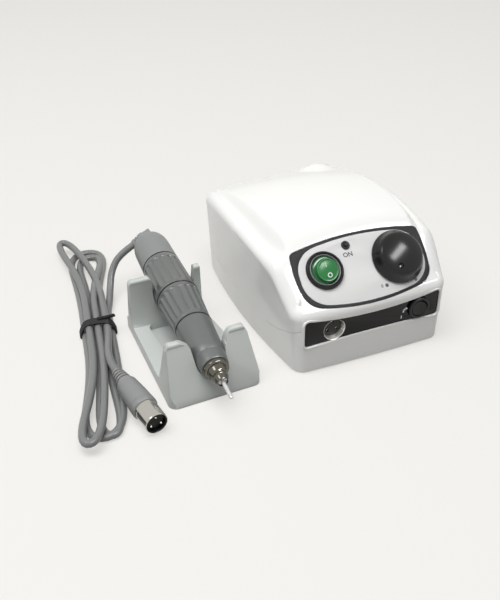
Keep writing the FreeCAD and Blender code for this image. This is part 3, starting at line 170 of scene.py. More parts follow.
@dataclass(frozen=True)
class Finish:
    """One real finish.

    grain_mm is the size of its fine pattern, relief_mm that pattern's depth, and
    mottle how far the colour wanders from its mean. Grains under about 0.5 mm are
    drawn coarser than the real ones, so that they show.
    """

    name: str
    colour: str
    roughness: float
    surface: Surface = Surface.MOULDED
    metallic: float = 0.0
    ior: float = 1.5
    coat: float = 0.0
    coat_roughness: float = 0.1
    transmission: float = 0.0
    sheen: float = 0.0
    emission: float = 0.0
    grain_mm: float = 1.2
    relief_mm: float = 0.01
    mottle: float = 0.03

    def make(self) -> bpy.types.Material:
        """Return the material, made once and then found by its name.

        Returns:
            The material.
        """
        found = bpy.data.materials.get(self.name)
        if found is not None:
            return found
        material = bpy.data.materials.new(self.name)
        material.use_nodes = True
        tree = material.node_tree
        shader = tree.nodes["Principled BSDF"]
        base = linear(self.colour)
        values = {"Base Color": base, "Metallic": self.metallic, "Roughness": self.roughness,
                  "Coat Weight": self.coat, "Coat Roughness": self.coat_roughness,
                  "Transmission Weight": self.transmission, "Sheen Weight": self.sheen,
                  "Emission Color": base, "Emission Strength": self.emission}
        for name, value in values.items():
            shader.inputs[name].default_value = value
        if self.metallic < 0.5:
            shader.inputs["IOR"].default_value = self.ior
        place = add(tree, "ShaderNodeTexCoord").outputs["Object"]
        grain = self.pattern(tree, place)
        cloud = add(tree, "ShaderNodeTexNoise", {"Scale": 1.0 / (18.0 * MM), "Detail": 3.0},
                    {"Vector": place}).outputs["Fac"]
        dark = tuple(c * (1.0 - self.mottle) for c in base[:3]) + (1.0,)
        light = tuple(min(1.0, c * (1.0 + self.mottle)) for c in base[:3]) + (1.0,)
        both = add(tree, "ShaderNodeMath", {"operation": "MULTIPLY_ADD", 1: 0.6}, {0: cloud, 2: grain})
        half = add(tree, "ShaderNodeMapRange", {"From Min": 0.35, "From Max": 1.15},
                   {"Value": both.outputs[0]})
        tint = add(tree, "ShaderNodeMix", {"data_type": "RGBA"}, {"Factor": half.outputs["Result"]})
        tint.inputs[6].default_value = dark
        tint.inputs[7].default_value = light
        tree.links.new(tint.outputs[2], shader.inputs["Base Color"])
        rough = add(tree, "ShaderNodeMapRange", {"To Min": max(0.02, self.roughness * 0.86),
                                                 "To Max": min(1.0, self.roughness * 1.14)},
                    {"Value": cloud})
        tree.links.new(rough.outputs["Result"], shader.inputs["Roughness"])
        relief = add(tree, "ShaderNodeBump", {"Strength": 0.6, "Distance": self.relief_mm * MM},
                     {"Height": grain})
        tree.links.new(relief.outputs["Normal"], shader.inputs["Normal"])
        return material

    def pattern(self, tree: bpy.types.NodeTree, place: bpy.types.NodeSocket) -> bpy.types.NodeSocket:
        """Return the height of the fine pattern that the making leaves.

        Args:
            tree: the material's node tree.
            place: the place on the object.

        Returns:
            The socket that carries the height.
        """
        stretch = {Surface.BRUSHED: (0.06, 1.0, 1.0), Surface.TURNED: (1.0, 0.08, 1.0)}
        scale = stretch.get(self.surface, (1.0, 1.0, 1.0))
        turned = add(tree, "ShaderNodeMapping", {"Scale": scale}, {"Vector": place}).outputs[0]
        if self.surface is Surface.SPRAYED:
            cells = add(tree, "ShaderNodeTexVoronoi", {"Scale": 1.0 / (self.grain_mm * MM)},
                        {"Vector": turned})
            return cells.outputs["Distance"]
        noise = add(tree, "ShaderNodeTexNoise", {"Scale": 1.0 / (self.grain_mm * MM), "Detail": 2.0,
                                                 "Roughness": 0.6}, {"Vector": turned})
        return noise.outputs["Fac"]


# Polished-mould ABS: bright and glossy, with the faint ripple of a moulded wall.
CASE_ABS = Finish("gloss_abs_white", "#EDEDEB", 0.16, ior=1.53, coat=0.25, coat_roughness=0.06,
                  grain_mm=3.0, relief_mm=0.012, mottle=0.006)
# The same plastic from a duller tool: no sharp mirror image.
CRADLE_ABS = Finish("satin_abs_grey_white", "#BDC1BE", 0.34, ior=1.53, grain_mm=0.8, relief_mm=0.01,
                    mottle=0.012)
# Screen-printed polycarbonate sheet on the panel, slightly greyer than the case.
PANEL_SHEET = Finish("printed_polycarbonate_white", "#DADAD9", 0.6, ior=1.25, grain_mm=0.5,
                     relief_mm=0.004, mottle=0.008)
# The same sheet printed black: a flat charcoal with hardly any shine.
PANEL_INK = Finish("printed_polycarbonate_black", "#1C1D1E", 0.5, ior=1.3, grain_mm=0.5,
                   relief_mm=0.004, mottle=0.04)
# Screen inks: flat films that dull the sheet's light.
PRINT_INK = Finish("screen_ink_black", "#2A2A2C", 0.5, grain_mm=0.3, relief_mm=0.004, mottle=0.04)
PRINT_GREY = Finish("screen_ink_grey", "#4C4C4F", 0.5, grain_mm=0.3, relief_mm=0.004, mottle=0.04)
PRINT_WHITE = Finish("screen_ink_white", "#E4E4E2", 0.5, grain_mm=0.3, relief_mm=0.004, mottle=0.02)
# Back-printed clear acrylic strip: deep black under a mirror-smooth face.
STRIP_ACRYLIC = Finish("black_acrylic", "#060607", 0.1, ior=1.33,
                       grain_mm=4.0, relief_mm=0.004, mottle=0.03)
# Nylon housings of the switches, moulded with a fine spark texture.
SWITCH_NYLON = Finish("moulded_nylon_black", "#08090A", 0.34, ior=1.4, grain_mm=0.35, relief_mm=0.01,
                      mottle=0.06)
# Phenolic knob with a polished crown, so that the lamps draw a soft streak on it.
KNOB_PHENOLIC = Finish("polished_phenolic_black", "#050506", 0.2, ior=1.45, grain_mm=0.5,
                       relief_mm=0.004, mottle=0.06)
# Clear ring round the lens, coloured pale grey as a painted reflection in place of clear plastic, with a sharp
# gloss.
CLEAR_RING_PAINTED_REFLECTION = Finish("clear_ring_painted_reflection", "#A9B2AE", 0.14, ior=1.58, transmission=0.2,
                    grain_mm=1.0, relief_mm=0.004, mottle=0.05)
# Green polycarbonate painted lighter for the lens's lit middle, with a painted glow and a strong mottle of
# painted uneven light: deep green with a gloss.
GREEN_PAINTED_LIGHT_AND_GLOW = Finish("green_polycarbonate_painted_light_and_glow", "#02722F", 0.2, ior=1.58, emission=0.06, grain_mm=2.5,
                     relief_mm=0.006, mottle=0.2)
# The same plastic painted darker at the lens's edge as painted shade, with a weaker painted glow and a strong
# mottle of painted uneven light: bottle green.
GREEN_PAINTED_SHADE_AND_GLOW = Finish("green_polycarbonate_painted_shade_and_glow", "#084A22", 0.08, ior=1.58, emission=0.02, grain_mm=2.5,
                     relief_mm=0.006, mottle=0.3)
# Dark red acrylic that looks black until its lamp is lit.
LAMP_LENS = Finish("lamp_acrylic_dark_red", "#1B0607", 0.08, ior=1.49, transmission=0.2,
                   grain_mm=1.0, relief_mm=0.004, mottle=0.05)
# Satin anodised aluminium tube: a grey body with broad soft highlights.
SLEEVE_ANODISED = Finish("satin_anodised_grey", "#6F7271", 0.3, Surface.SPRAYED, metallic=0.45,
                         coat=0.3, coat_roughness=0.22, grain_mm=0.35, relief_mm=0.006, mottle=0.02)
# Finely blasted before anodising: paler, with no streaks.
CAP_GREY = Finish("matt_anodised_pale_grey", "#858887", 0.45, Surface.SPRAYED, metallic=0.1,
                  grain_mm=0.35, relief_mm=0.008, mottle=0.03)
# The head sleeve's coarser blasting: a duller grey.
SLEEVE_DULL = Finish("matt_anodised_grey", "#6C6F6E", 0.36, Surface.SPRAYED, metallic=0.4,
                     coat=0.25, coat_roughness=0.28, grain_mm=0.35, relief_mm=0.008, mottle=0.03)
# Rubbers: dead black rings and dusty feet.
RING_RUBBER = Finish("nitrile_rubber_black", "#111111", 0.55, grain_mm=0.3, relief_mm=0.008, mottle=0.08)
FOOT_RUBBER = Finish("moulded_rubber_black", "#1A1A1A", 0.7, grain_mm=0.6, relief_mm=0.02, mottle=0.08)
# Bright chromium over polished brass.
CHROME = Finish("bright_chromium_plate", "#D5D7D6", 0.07, Surface.TURNED, metallic=1.0, grain_mm=0.8,
                relief_mm=0.002, mottle=0.02)
# Satin plating inside the socket: a pale even crescent.
SOCKET_CHROME = Finish("plated_socket_brass", "#F2F1EE", 0.4, Surface.TURNED, metallic=1.0, grain_mm=0.8,
                       relief_mm=0.002, mottle=0.02)
# Nickel chromium on the nose, its colour darkened as painted dark reflection of the surroundings: dark mirror
# bands round the axis.
NOSE_CHROME_PAINTED_DARK = Finish("nickel_chromium_painted_dark", "#6A6861", 0.11, Surface.TURNED, metallic=1.0, grain_mm=0.6,
                     relief_mm=0.003, mottle=0.03)
# Drawn steel shell, plated: long mirror streaks.
PLUG_CHROME = Finish("plated_plug_steel", "#BFBEB8", 0.14, Surface.BRUSHED, metallic=1.0, grain_mm=0.6,
                     relief_mm=0.003, mottle=0.03)
# Ground shank: bright and slightly satin.
BUR_STEEL = Finish("bright_ground_steel", "#D6D8D8", 0.26, Surface.TURNED, metallic=0.6, grain_mm=0.4,
                   relief_mm=0.003, mottle=0.04)
# Core deep in the plug: the blackest plastic of the set.
CORE_NYLON = Finish("moulded_nylon_deep_black", "#030303", 0.35, ior=1.3, grain_mm=0.35, relief_mm=0.006,
                    mottle=0.06)
# Metals out of sight: warm nickel, cool ground steel, yellow brass.
NICKEL = Finish("nickel_plate", "#B9B7B0", 0.2, Surface.TURNED, metallic=1.0, grain_mm=0.5,
                relief_mm=0.004, mottle=0.04)
GROUND_STEEL = Finish("ground_steel", "#A9ABAC", 0.24, Surface.TURNED, metallic=1.0, grain_mm=0.4,
                      relief_mm=0.004, mottle=0.05)
BRASS = Finish("turned_brass", "#C9A55A", 0.28, Surface.TURNED, metallic=1.0, grain_mm=0.4,
               relief_mm=0.004, mottle=0.05)
# Flexible vinyl jacket: even grey with a waxy shine.
CORD_VINYL = Finish("flexible_vinyl_grey", "#777978", 0.3, ior=1.52, grain_mm=0.7, relief_mm=0.02,
                    mottle=0.04)
# The plug's stiffer vinyl: paler and duller.
PLUG_VINYL = Finish("moulded_vinyl_grey", "#858786", 0.4, ior=1.52, grain_mm=0.6, relief_mm=0.015,
                    mottle=0.03)
# Plastic-coated tie wire: soft black.
TIE_VINYL = Finish("coated_wire_black", "#070708", 0.45, grain_mm=0.5, relief_mm=0.01, mottle=0.06)
# Inside the case: varnished sheets, glossy tape, laminate, drawn cans, ferrite, carbon and glass.
CORE_IRON = Finish("varnished_iron_sheets", "#4A4744", 0.5, Surface.BRUSHED, metallic=0.7,
                   grain_mm=0.5, relief_mm=0.05, mottle=0.12)
COIL_TAPE = Finish("polyester_tape_yellow", "#C79A3A", 0.35, ior=1.55, grain_mm=1.5, relief_mm=0.03,
                   mottle=0.06)
BOARD_GLASS = Finish("glass_epoxy_green", "#1F5B34", 0.35, ior=1.55, grain_mm=1.0, relief_mm=0.01,
                     mottle=0.08)
CAN_ALUMINIUM = Finish("drawn_aluminium", "#C3C5C7", 0.3, Surface.BRUSHED, metallic=1.0, grain_mm=0.6,
                       relief_mm=0.006, mottle=0.04)
FERRITE = Finish("sintered_ferrite", "#3A3A3C", 0.6, grain_mm=0.4, relief_mm=0.02, mottle=0.1)
CARBON = Finish("pressed_carbon", "#1C1C1C", 0.6, grain_mm=0.3, relief_mm=0.01, mottle=0.1)
FUSE_GLASS = Finish("fuse_glass", "#E8ECEB", 0.05, transmission=0.85, relief_mm=0.001,
                    mottle=0.01)

NODE_FINISHES: Dict[str, Finish] = {
    "case_screws": GROUND_STEEL, "rubber_feet": FOOT_RUBBER, "panel_border": PANEL_INK,
    "panel_face": PANEL_SHEET, "power_switch_body": SWITCH_NYLON, "switch_terminals": BRASS,
    "pilot_lamp_bezel": SWITCH_NYLON, "pilot_lamp": LAMP_LENS, "speed_knob": KNOB_PHENOLIC,
    "potentiometer_shaft": CAN_ALUMINIUM, "potentiometer_body": NICKEL, "potentiometer_nut": BRASS,
    "front_plate": STRIP_ACRYLIC, "socket_shell": NICKEL, "socket_insert": SWITCH_NYLON,
    "direction_switch_body": SWITCH_NYLON, "direction_switch_lever": SWITCH_NYLON,
    "transformer_core": CORE_IRON, "transformer_coil": COIL_TAPE, "transformer_bracket": NICKEL,
    "circuit_board": BOARD_GLASS, "board_screws": GROUND_STEEL, "smoothing_capacitors": CAN_ALUMINIUM,
    "heatsink": CAN_ALUMINIUM, "drive_transistor": SWITCH_NYLON, "mains_inlet": SWITCH_NYLON,
    "inlet_pins": BRASS, "fuse_holder": SWITCH_NYLON, "fuse_cap": SWITCH_NYLON, "fuse_link": FUSE_GLASS,
    "cradle": CRADLE_ABS, "rear_cap": SLEEVE_ANODISED, "cord_boot": PLUG_VINYL,
    "motor_housing": SLEEVE_ANODISED, "lock_sleeve": SLEEVE_ANODISED, "front_housing": SLEEVE_ANODISED,
    "seal_rings": RING_RUBBER, "nose_ring": CHROME, "nose_cone": CHROME, "motor_magnets": FERRITE,
    "rotor_core": GROUND_STEEL, "commutator": BRASS, "carbon_brushes": CARBON,
    "rear_bearing": GROUND_STEEL, "front_bearings": GROUND_STEEL, "spindle": GROUND_STEEL,
    "collet": GROUND_STEEL, "spring_washers": GROUND_STEEL, "blank_bur": GROUND_STEEL,
    "cord_tie": TIE_VINYL, "plug_body": PLUG_VINYL, "plug_shell": NICKEL, "plug_insert": SWITCH_NYLON,
    "plug_pins": BRASS, "lower_case": CASE_ABS, "upper_case": CASE_ABS, "power_rocker": SWITCH_NYLON,
    "cord_lead": CORD_VINYL, "cord_hank": CORD_VINYL, "cord_tail": CORD_VINYL,
}


def dress(piece: bpy.types.Object, finish: Finish) -> None:
    """Give a piece one finish all over."""
    piece.data.materials.clear()
    piece.data.materials.append(finish.make())


def settle(piece: bpy.types.Object, body: str, finish: Finish) -> bpy.types.Object:
    """Dress a finished piece, and let it ride on its body.

    Args:
        piece: the finished piece.
        body: the body that it moves with.
        finish: what it is made of.

    Returns:
        The piece.
    """
    dress(piece, finish)
    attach(piece, body)
    LOG.info("%s: %d faces on %s", piece.name, len(getattr(piece.data, "polygons", [])), body)
    return piece


def install(piece: bpy.types.Object, node: Optional[str], where: Matrix, body: str,
            finish: Finish, degrees: float = 34.0) -> bpy.types.Object:
    """Place and shade a piece, let it stand for its CAD node, and settle it.

    Args:
        piece: the piece, drawn about its own axis.
        node: the CAD node that it replaces, or None.
        where: its placement.
        body: the body that it moves with.
        finish: what it is made of.
        degrees: what turns by less than this is shaded round.

    Returns:
        The piece.
    """
    smooth(place(piece, where), degrees)
    if node:
        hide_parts(node)
    return settle(piece, body, finish)


# Workshop: primitives shaped in edit mode

def clear_selection() -> None:
    """Leave edit mode and deselect everything."""
    if bpy.context.mode != "OBJECT":
        bpy.ops.object.mode_set(mode="OBJECT")
    bpy.ops.object.select_all(action="DESELECT")


def take(piece: bpy.types.Object) -> bpy.types.Object:
    """Make one piece the only selected and active one.

    Args:
        piece: the piece.

    Returns:
        The same piece.
    """
    clear_selection()
    piece.select_set(True)
    bpy.context.view_layer.objects.active = piece
    return piece


def fresh(name: str) -> bpy.types.Object:
    """Name the piece that an operator has just added, and return it.

    Args:
        name: its new name.

    Returns:
        The renamed object.
    """
    piece = bpy.context.active_object
    piece.name = name
    piece.data.name = name
    return piece


def place(piece: bpy.types.Object, matrix: Matrix) -> bpy.types.Object:
    """Move the mesh itself to its place, with the object left at the origin."""
    piece.data.transform(matrix)
    piece.data.update()
    return piece


def smooth(piece: bpy.types.Object, degrees: float = 30.0) -> bpy.types.Object:
    """Shade round what turns by less than an angle."""
    take(piece)
    bpy.ops.object.shade_smooth_by_angle(angle=math.radians(degrees))
    return piece


def turn(name: str, profile: Sequence[Point], steps: int = 64) -> bpy.types.Object:
    """Turn a profile round the Z axis, as on a lathe.

    Args:
        name: the piece's name.
        profile: (station, radius) points in millimetres, from rear to front on the outside.
        steps: faces round the axis.

    Returns:
        A closed piece about its own axis, in millimetres.
    """
    clear_selection()
    bpy.ops.mesh.primitive_plane_add(size=1.0, location=(0.0, 0.0, 0.0))
    piece = fresh(name)
    bpy.ops.object.mode_set(mode="EDIT")
    bpy.ops.mesh.select_all(action="SELECT")
    bpy.ops.mesh.merge(type="CENTER")
    here = Vector((profile[0][1], 0.0, profile[0][0]))
    bpy.ops.transform.translate(value=here)
    for station, radius in profile[1:]:
        there = Vector((radius, 0.0, station))
        bpy.ops.mesh.extrude_vertices_move(TRANSFORM_OT_translate={"value": there - here})
        here = there
    bpy.ops.mesh.select_all(action="SELECT")
    bpy.ops.mesh.spin(steps=steps, angle=2.0 * math.pi, center=(0.0, 0.0, 0.0), axis=(0.0, 0.0, 1.0))
    bpy.ops.mesh.select_all(action="SELECT")
    bpy.ops.mesh.remove_doubles(threshold=1e-4)
    bpy.ops.mesh.select_all(action="DESELECT")
    bpy.ops.mesh.select_non_manifold()
    bpy.ops.mesh.fill_holes(sides=0)
    bpy.ops.mesh.select_all(action="SELECT")
    bpy.ops.mesh.normals_make_consistent(inside=False)
    bpy.ops.object.mode_set(mode="OBJECT")
    return piece


def arc(centre: Point, radius: float, first: float, last: float, count: int = 8) -> List[Point]:
    """Return points of an arc in (station, radius), from one angle to another in degrees."""
    steps = [math.radians(first + (last - first) * i / count) for i in range(count + 1)]
    return [(centre[0] + radius * math.cos(a), centre[1] + radius * math.sin(a)) for a in steps]


def cut(piece: bpy.types.Object, tool: bpy.types.Object, operation: str = "DIFFERENCE") -> None:
    """Cut, join or intersect a piece with a tool, and remove the tool.

    Args:
        piece: the piece that changes.
        tool: the other operand, which is used up.
        operation: the kind of boolean.
    """
    take(piece)
    modifier = piece.modifiers.new("cut", "BOOLEAN")
    modifier.operation = operation
    modifier.solver = "MANIFOLD"
    modifier.object = tool
    bpy.ops.object.modifier_apply(modifier=modifier.name)
    bpy.data.objects.remove(tool, do_unlink=True)


def bevel(piece: bpy.types.Object, width: float, segments: int = 3, degrees: float = 30.0) -> None:
    """Round every edge that is sharper than an angle.

    Args:
        piece: the piece.
        width: the rounding's width, in the mesh's own unit.
        segments: its steps.
        degrees: the least angle of an edge that is rounded.
    """
    take(piece)
    modifier = piece.modifiers.new("round", "BEVEL")
    modifier.width = width
    modifier.segments = segments
    modifier.limit_method = "ANGLE"
    modifier.angle_limit = math.radians(degrees)
    modifier.harden_normals = False
    bpy.ops.object.modifier_apply(modifier=modifier.name)


def combine(pieces: Sequence[bpy.types.Object], name: str) -> bpy.types.Object:
    """Join separate solids into one piece.

    Args:
        pieces: the pieces, which are used up.
        name: the name of what they become.

    Returns:
        The joined piece.
    """
    clear_selection()
    for piece in pieces:
        piece.select_set(True)
    bpy.context.view_layer.objects.active = pieces[0]
    if len(pieces) > 1:
        bpy.ops.object.join()
    return fresh(name)


def slab(name: str, outline: Sequence[Point], low: float, high: float) -> bpy.types.Object:
    """Raise a flat outline to a thickness.

    Args:
        name: the piece's name.
        outline: corners in the XY plane, in millimetres.
        low: lower face's Z.
        high: upper face's Z.

    Returns:
        The prism, in millimetres.
    """
    clear_selection()
    bpy.ops.mesh.primitive_circle_add(vertices=len(outline), radius=1.0, fill_type="NGON")
    piece = fresh(name)
    for vertex, (x, y) in zip(piece.data.vertices, outline):
        vertex.co = (x, y, low)
    bpy.ops.object.mode_set(mode="EDIT")
    bpy.ops.mesh.select_all(action="SELECT")
    bpy.ops.mesh.extrude_region_move(TRANSFORM_OT_translate={"value": (0.0, 0.0, high - low)})
    bpy.ops.mesh.select_all(action="SELECT")
    bpy.ops.mesh.normals_make_consistent(inside=False)
    bpy.ops.object.mode_set(mode="OBJECT")
    return piece


def rod(name: str, radius: float, low: float, high: float, vertices: int = 48) -> bpy.types.Object:
    """Add a plain cylinder about the Z axis, as a cutter or a core.

    Args:
        name: the piece's name.
        radius: its radius.
        low: its lower end on Z.
        high: its upper end on Z.
        vertices: points round it.

    Returns:
        The rod.
    """
    clear_selection()
    bpy.ops.mesh.primitive_cylinder_add(vertices=vertices, radius=radius, depth=high - low,
                                        location=(0.0, 0.0, (low + high) / 2.0))
    piece = fresh(name)
    piece.data.transform(Matrix.Translation((0.0, 0.0, (low + high) / 2.0)))
    piece.location = (0.0, 0.0, 0.0)
    return piece


def drills(name: str, spots: Sequence[Tuple[float, float, float]], low: float, high: float,
           vertices: int) -> bpy.types.Object:
    """Return the joined cutters of round holes.

    Args:
        name: the joined cutter's name.
        spots: each hole's x, y and radius.
        low: the cutters' lower end.
        high: their upper end.
        vertices: points round each.

    Returns:
        The joined cutter.
    """
    tools = []
    for x, y, radius in spots:
        tool = rod(name, radius, low, high, vertices)
        tool.data.transform(Matrix.Translation((x, y, 0.0)))
        tools.append(tool)
    return combine(tools, name)


def three_round(radius: float) -> List[Point]:
    """Return the places of three pins on a circle, the first straight up."""
    return [(radius * math.cos(math.radians(a)), radius * math.sin(math.radians(a))) for a in (90, 210, 330)]


def wire(name: str, points: Sequence[Vector], radius: float, steps: int, sides: int,
         closed: bool = False) -> bpy.types.Object:
    """Return a round wire that follows control points.

    Args:
        name: the piece's name.
        points: the control points.
        radius: the wire's radius, in the points' unit.
        steps: steps between two control points.
        sides: the fineness round the wire.
        closed: True for a ring without ends.

    Returns:
        The curve's object.
    """
    data = bpy.data.curves.new(name, "CURVE")
    data.dimensions = "3D"
    data.resolution_u = steps
    data.bevel_depth = radius
    data.bevel_resolution = sides
    data.use_fill_caps = not closed
    spline = data.splines.new("NURBS")
    spline.points.add(len(points) - 1)
    for control, point in zip(spline.points, points):
        control.co = (*point, 1.0)
    spline.order_u = 3
    spline.use_cyclic_u = closed
    spline.use_endpoint_u = not closed
    curve = bpy.data.objects.new(name, data)
    bpy.context.scene.collection.objects.link(curve)
    return curve


def stack(name: str, rings: Sequence[Sequence[Vector]], ridge: bool = False) -> bpy.types.Object:
    """Raise a form ring by ring from a circle, and close whatever stays open.

    Args:
        name: the piece's name.
        rings: rings of equal length; where the last is the first again, the form closes on itself.
        ridge: True where the last ring is closed across, from each point to its mirror image.

    Returns:
        The closed form.
    """
    clear_selection()
    bpy.ops.mesh.primitive_circle_add(vertices=len(rings[0]), radius=40.0, fill_type="NOTHING")
    piece = fresh(name)
    for vertex, point in zip(piece.data.vertices, rings[0]):
        vertex.co = point
    bpy.ops.object.mode_set(mode="EDIT")
    bpy.ops.mesh.select_all(action="SELECT")
    for points in rings[1:]:
        bpy.ops.mesh.extrude_region_move()
        mesh = bmesh.from_edit_mesh(piece.data)
        mesh.verts.ensure_lookup_table()
        for vertex, point in zip(mesh.verts[-len(points):], points):
            vertex.co = point
        bmesh.update_edit_mesh(piece.data)
    if ridge:
        mesh = bmesh.from_edit_mesh(piece.data)
        mesh.verts.ensure_lookup_table()
        last = mesh.verts[-len(rings[-1]):]
        for i in range(len(last) // 2):
            corners = [last[i], last[i + 1], last[-i - 1], last[-i] if i else None]
            mesh.faces.new([c for k, c in enumerate(corners) if c is not None and c not in corners[:k]])
        bmesh.update_edit_mesh(piece.data)
    bpy.ops.mesh.select_all(action="SELECT")
    bpy.ops.mesh.remove_doubles(threshold=1e-3)
    bpy.ops.mesh.select_all(action="DESELECT")
    bpy.ops.mesh.select_non_manifold()
    bpy.ops.mesh.edge_face_add()
    bpy.ops.mesh.select_all(action="SELECT")
    bpy.ops.mesh.normals_make_consistent(inside=False)
    bpy.ops.object.mode_set(mode="OBJECT")
    return piece


def refine(node: str, name: str, width: float = 0.3, degrees: float = 35.0,
           segments: int = 3, first: Optional[Callable[[bpy.types.Object], None]] = None) -> bpy.types.Object:
    """Return a copy of a CAD node's mesh with its doubles merged and its sharp edges rounded.

    Args:
        node: the CAD node.
        name: the new piece's name.
        width: the rounding, in millimetres.
        degrees: edges that turn by more than this are rounded.
        segments: faces across a rounding.
        first: work done on the merged mesh before the rounding.

    Returns:
        The piece, in its place, which stands for the node.
    """
    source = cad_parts[node]
    clear_selection()
    piece = bpy.data.objects.new(name, source.data.copy())
    piece.data.name = name
    bpy.context.scene.collection.objects.link(piece)
    piece.matrix_world = Matrix.Identity(4)
    take(piece)
    bpy.ops.object.mode_set(mode="EDIT")
    bpy.ops.mesh.select_all(action="SELECT")
    bpy.ops.mesh.remove_doubles(threshold=1e-6)
    bpy.ops.mesh.dissolve_limited(angle_limit=math.radians(0.6))
    bpy.ops.object.mode_set(mode="OBJECT")
    if first:
        first(piece)
    bevel(piece, width * MM, segments, degrees)
    smooth(piece, 34.0)
    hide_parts(node)
    return piece


# Studio

@dataclass
class Studio:
    """Floor, lamps, world and the camera that took the picture."""

    floor_colour: str = "#F4F2EE"
    bounce_colour: str = "#9A9998"
    lens: float = 53.5
    distance: float = 588.73
    azimuth: float = -23.1
    elevation: float = 33.32
    roll: float = -0.37
    target: Vector = field(default_factory=lambda: Vector((-41.88, 19.84, 0.0)))
    paper_colour: str = "#E3E2DF"
    glow_share: float = 0.58
    sky_strength: float = 0.28

    def camera(self) -> None:
        """Stand the camera where the photograph was taken from."""
        a = math.radians(self.azimuth)
        e = math.radians(self.elevation)
        back = Vector((math.sin(a) * math.cos(e), -math.cos(a) * math.cos(e), math.sin(e)))
        right = Vector((0.0, 0.0, 1.0)).cross(back).normalized()
        up = back.cross(right)
        r = math.radians(self.roll)
        right, up = right * math.cos(r) + up * math.sin(r), up * math.cos(r) - right * math.sin(r)
        data = bpy.data.cameras.new("camera")
        data.sensor_width = 36.0
        data.lens = self.lens
        data.clip_start = 0.01
        data.clip_end = 20.0
        camera = bpy.data.objects.new("camera", data)
        bpy.context.scene.collection.objects.link(camera)
        camera.matrix_world = (Matrix.Translation(at(self.target) + back * self.distance * MM)
                               @ Matrix((right, up, back)).transposed().to_4x4())
        bpy.context.scene.camera = camera

    def lamp(self, name: str, place_m: Vector, size: Tuple[float, float], power: float,
             roll: float = 0.0, shows: Tuple[bool, bool] = (True, True)) -> None:
        """Hang one rectangular lamp that looks at the set.

        Args:
            name: the lamp's name.
            place_m: where it hangs, in metres in the set's frame.
            size: its width and height in metres.
            power: its power in watts.
            roll: its turn about the way it looks.
            shows: whether it lights matt surfaces, and whether it shows in reflections.
        """
        data = bpy.data.lights.new(name, "AREA")
        data.shape = "RECTANGLE"
        data.size = size[0]
        data.size_y = size[1]
        data.energy = power
        lamp = bpy.data.objects.new(name, data)
        bpy.context.scene.collection.objects.link(lamp)
        aim = Vector((0.0, 0.0, 0.03)) - place_m
        lamp.matrix_world = (Matrix.Translation(place_m) @ aim.to_track_quat("-Z", "Y").to_matrix().to_4x4()
                             @ Matrix.Rotation(roll, 4, "Z"))
        lamp.visible_diffuse, lamp.visible_glossy = shows

    def lamps(self) -> None:
        """Light the set softly from above and behind, as in the photograph."""
        self.lamp("top_lamp", Vector((-0.28, -0.22, 1.5)), (1.2, 1.0), 21.5, shows=(True, False))
        self.lamp("left_lamp", Vector((-0.9, 0.1, 1.2)), (0.5, 0.5), 3.4)
        self.lamp("streak_lamp", Vector((0.5, -0.78, 1.36)), (1.2, 0.34), 17.0, math.radians(5.0),
                  shows=(False, True))

    def background_rays(self, tree: bpy.types.NodeTree) -> bpy.types.NodeSocket:
        """Return a factor of 1 for the rays that show the background: camera, glossy and transmission.

        Args:
            tree: the node tree of the floor or the world.

        Returns:
            The output of the last node.
        """
        path = add(tree, "ShaderNodeLightPath")
        seen = add(tree, "ShaderNodeMath", links={
            0: path.outputs["Is Camera Ray"], 1: path.outputs["Is Glossy Ray"]})
        seen.use_clamp = True
        both = add(tree, "ShaderNodeMath", links={
            0: seen.outputs[0], 1: path.outputs["Is Transmission Ray"]})
        both.use_clamp = True
        return both.outputs[0]

    def world(self) -> None:
        """Surround the set with soft grey light that looks pale to the camera and in reflections."""
        world = bpy.data.worlds.new("studio")
        bpy.context.scene.world = world
        world.use_nodes = True
        tree = world.node_tree
        shown = tree.nodes["Background"]
        shown.inputs["Color"].default_value = linear(self.floor_colour)
        shown.inputs["Strength"].default_value = 1.0
        light = add(tree, "ShaderNodeBackground", {"Color": (1.0, 1.0, 1.0, 1.0),
                                                   "Strength": self.sky_strength})
        mixed = add(tree, "ShaderNodeMixShader", links={
            0: self.background_rays(tree), 1: light.outputs[0], 2: shown.outputs[0]})
        tree.links.new(mixed.outputs[0], tree.nodes["World Output"].inputs["Surface"])

    def floor(self) -> None:
        """Lay the pale floor: part of what shows of it glows, so that shadows stay light."""
        clear_selection()
        bpy.ops.mesh.primitive_plane_add(size=8.0, location=(0.0, 0.0, 0.0))
        piece = fresh("floor")
        bpy.ops.object.mode_set(mode="EDIT")
        bpy.ops.mesh.subdivide(number_cuts=3)
        bpy.ops.object.mode_set(mode="OBJECT")
        material = bpy.data.materials.new("pale_paper")
        material.use_nodes = True
        tree = material.node_tree
        shader = tree.nodes["Principled BSDF"]
        shader.inputs["Base Color"].default_value = linear(self.paper_colour)
        shader.inputs["Roughness"].default_value = 0.9
        shader.inputs["Specular IOR Level"].default_value = 0.1
        glow = add(tree, "ShaderNodeEmission", {"Color": linear(self.floor_colour), "Strength": 1.0})
        paper = add(tree, "ShaderNodeBsdfDiffuse", {"Color": linear(self.bounce_colour)})
        shown = add(tree, "ShaderNodeMixShader", {0: self.glow_share},
                    {1: shader.outputs[0], 2: glow.outputs[0]})
        mixed = add(tree, "ShaderNodeMixShader", links={
            0: self.background_rays(tree), 1: paper.outputs[0], 2: shown.outputs[0]})
        tree.links.new(mixed.outputs[0], tree.nodes["Material Output"].inputs["Surface"])
        piece.data.materials.append(material)

    def build(self) -> None:
        """Set the studio up."""
        self.camera()
        self.lamps()
        self.world()
        self.floor()
        bpy.context.scene.view_settings.view_transform = "Standard"


# Outlines

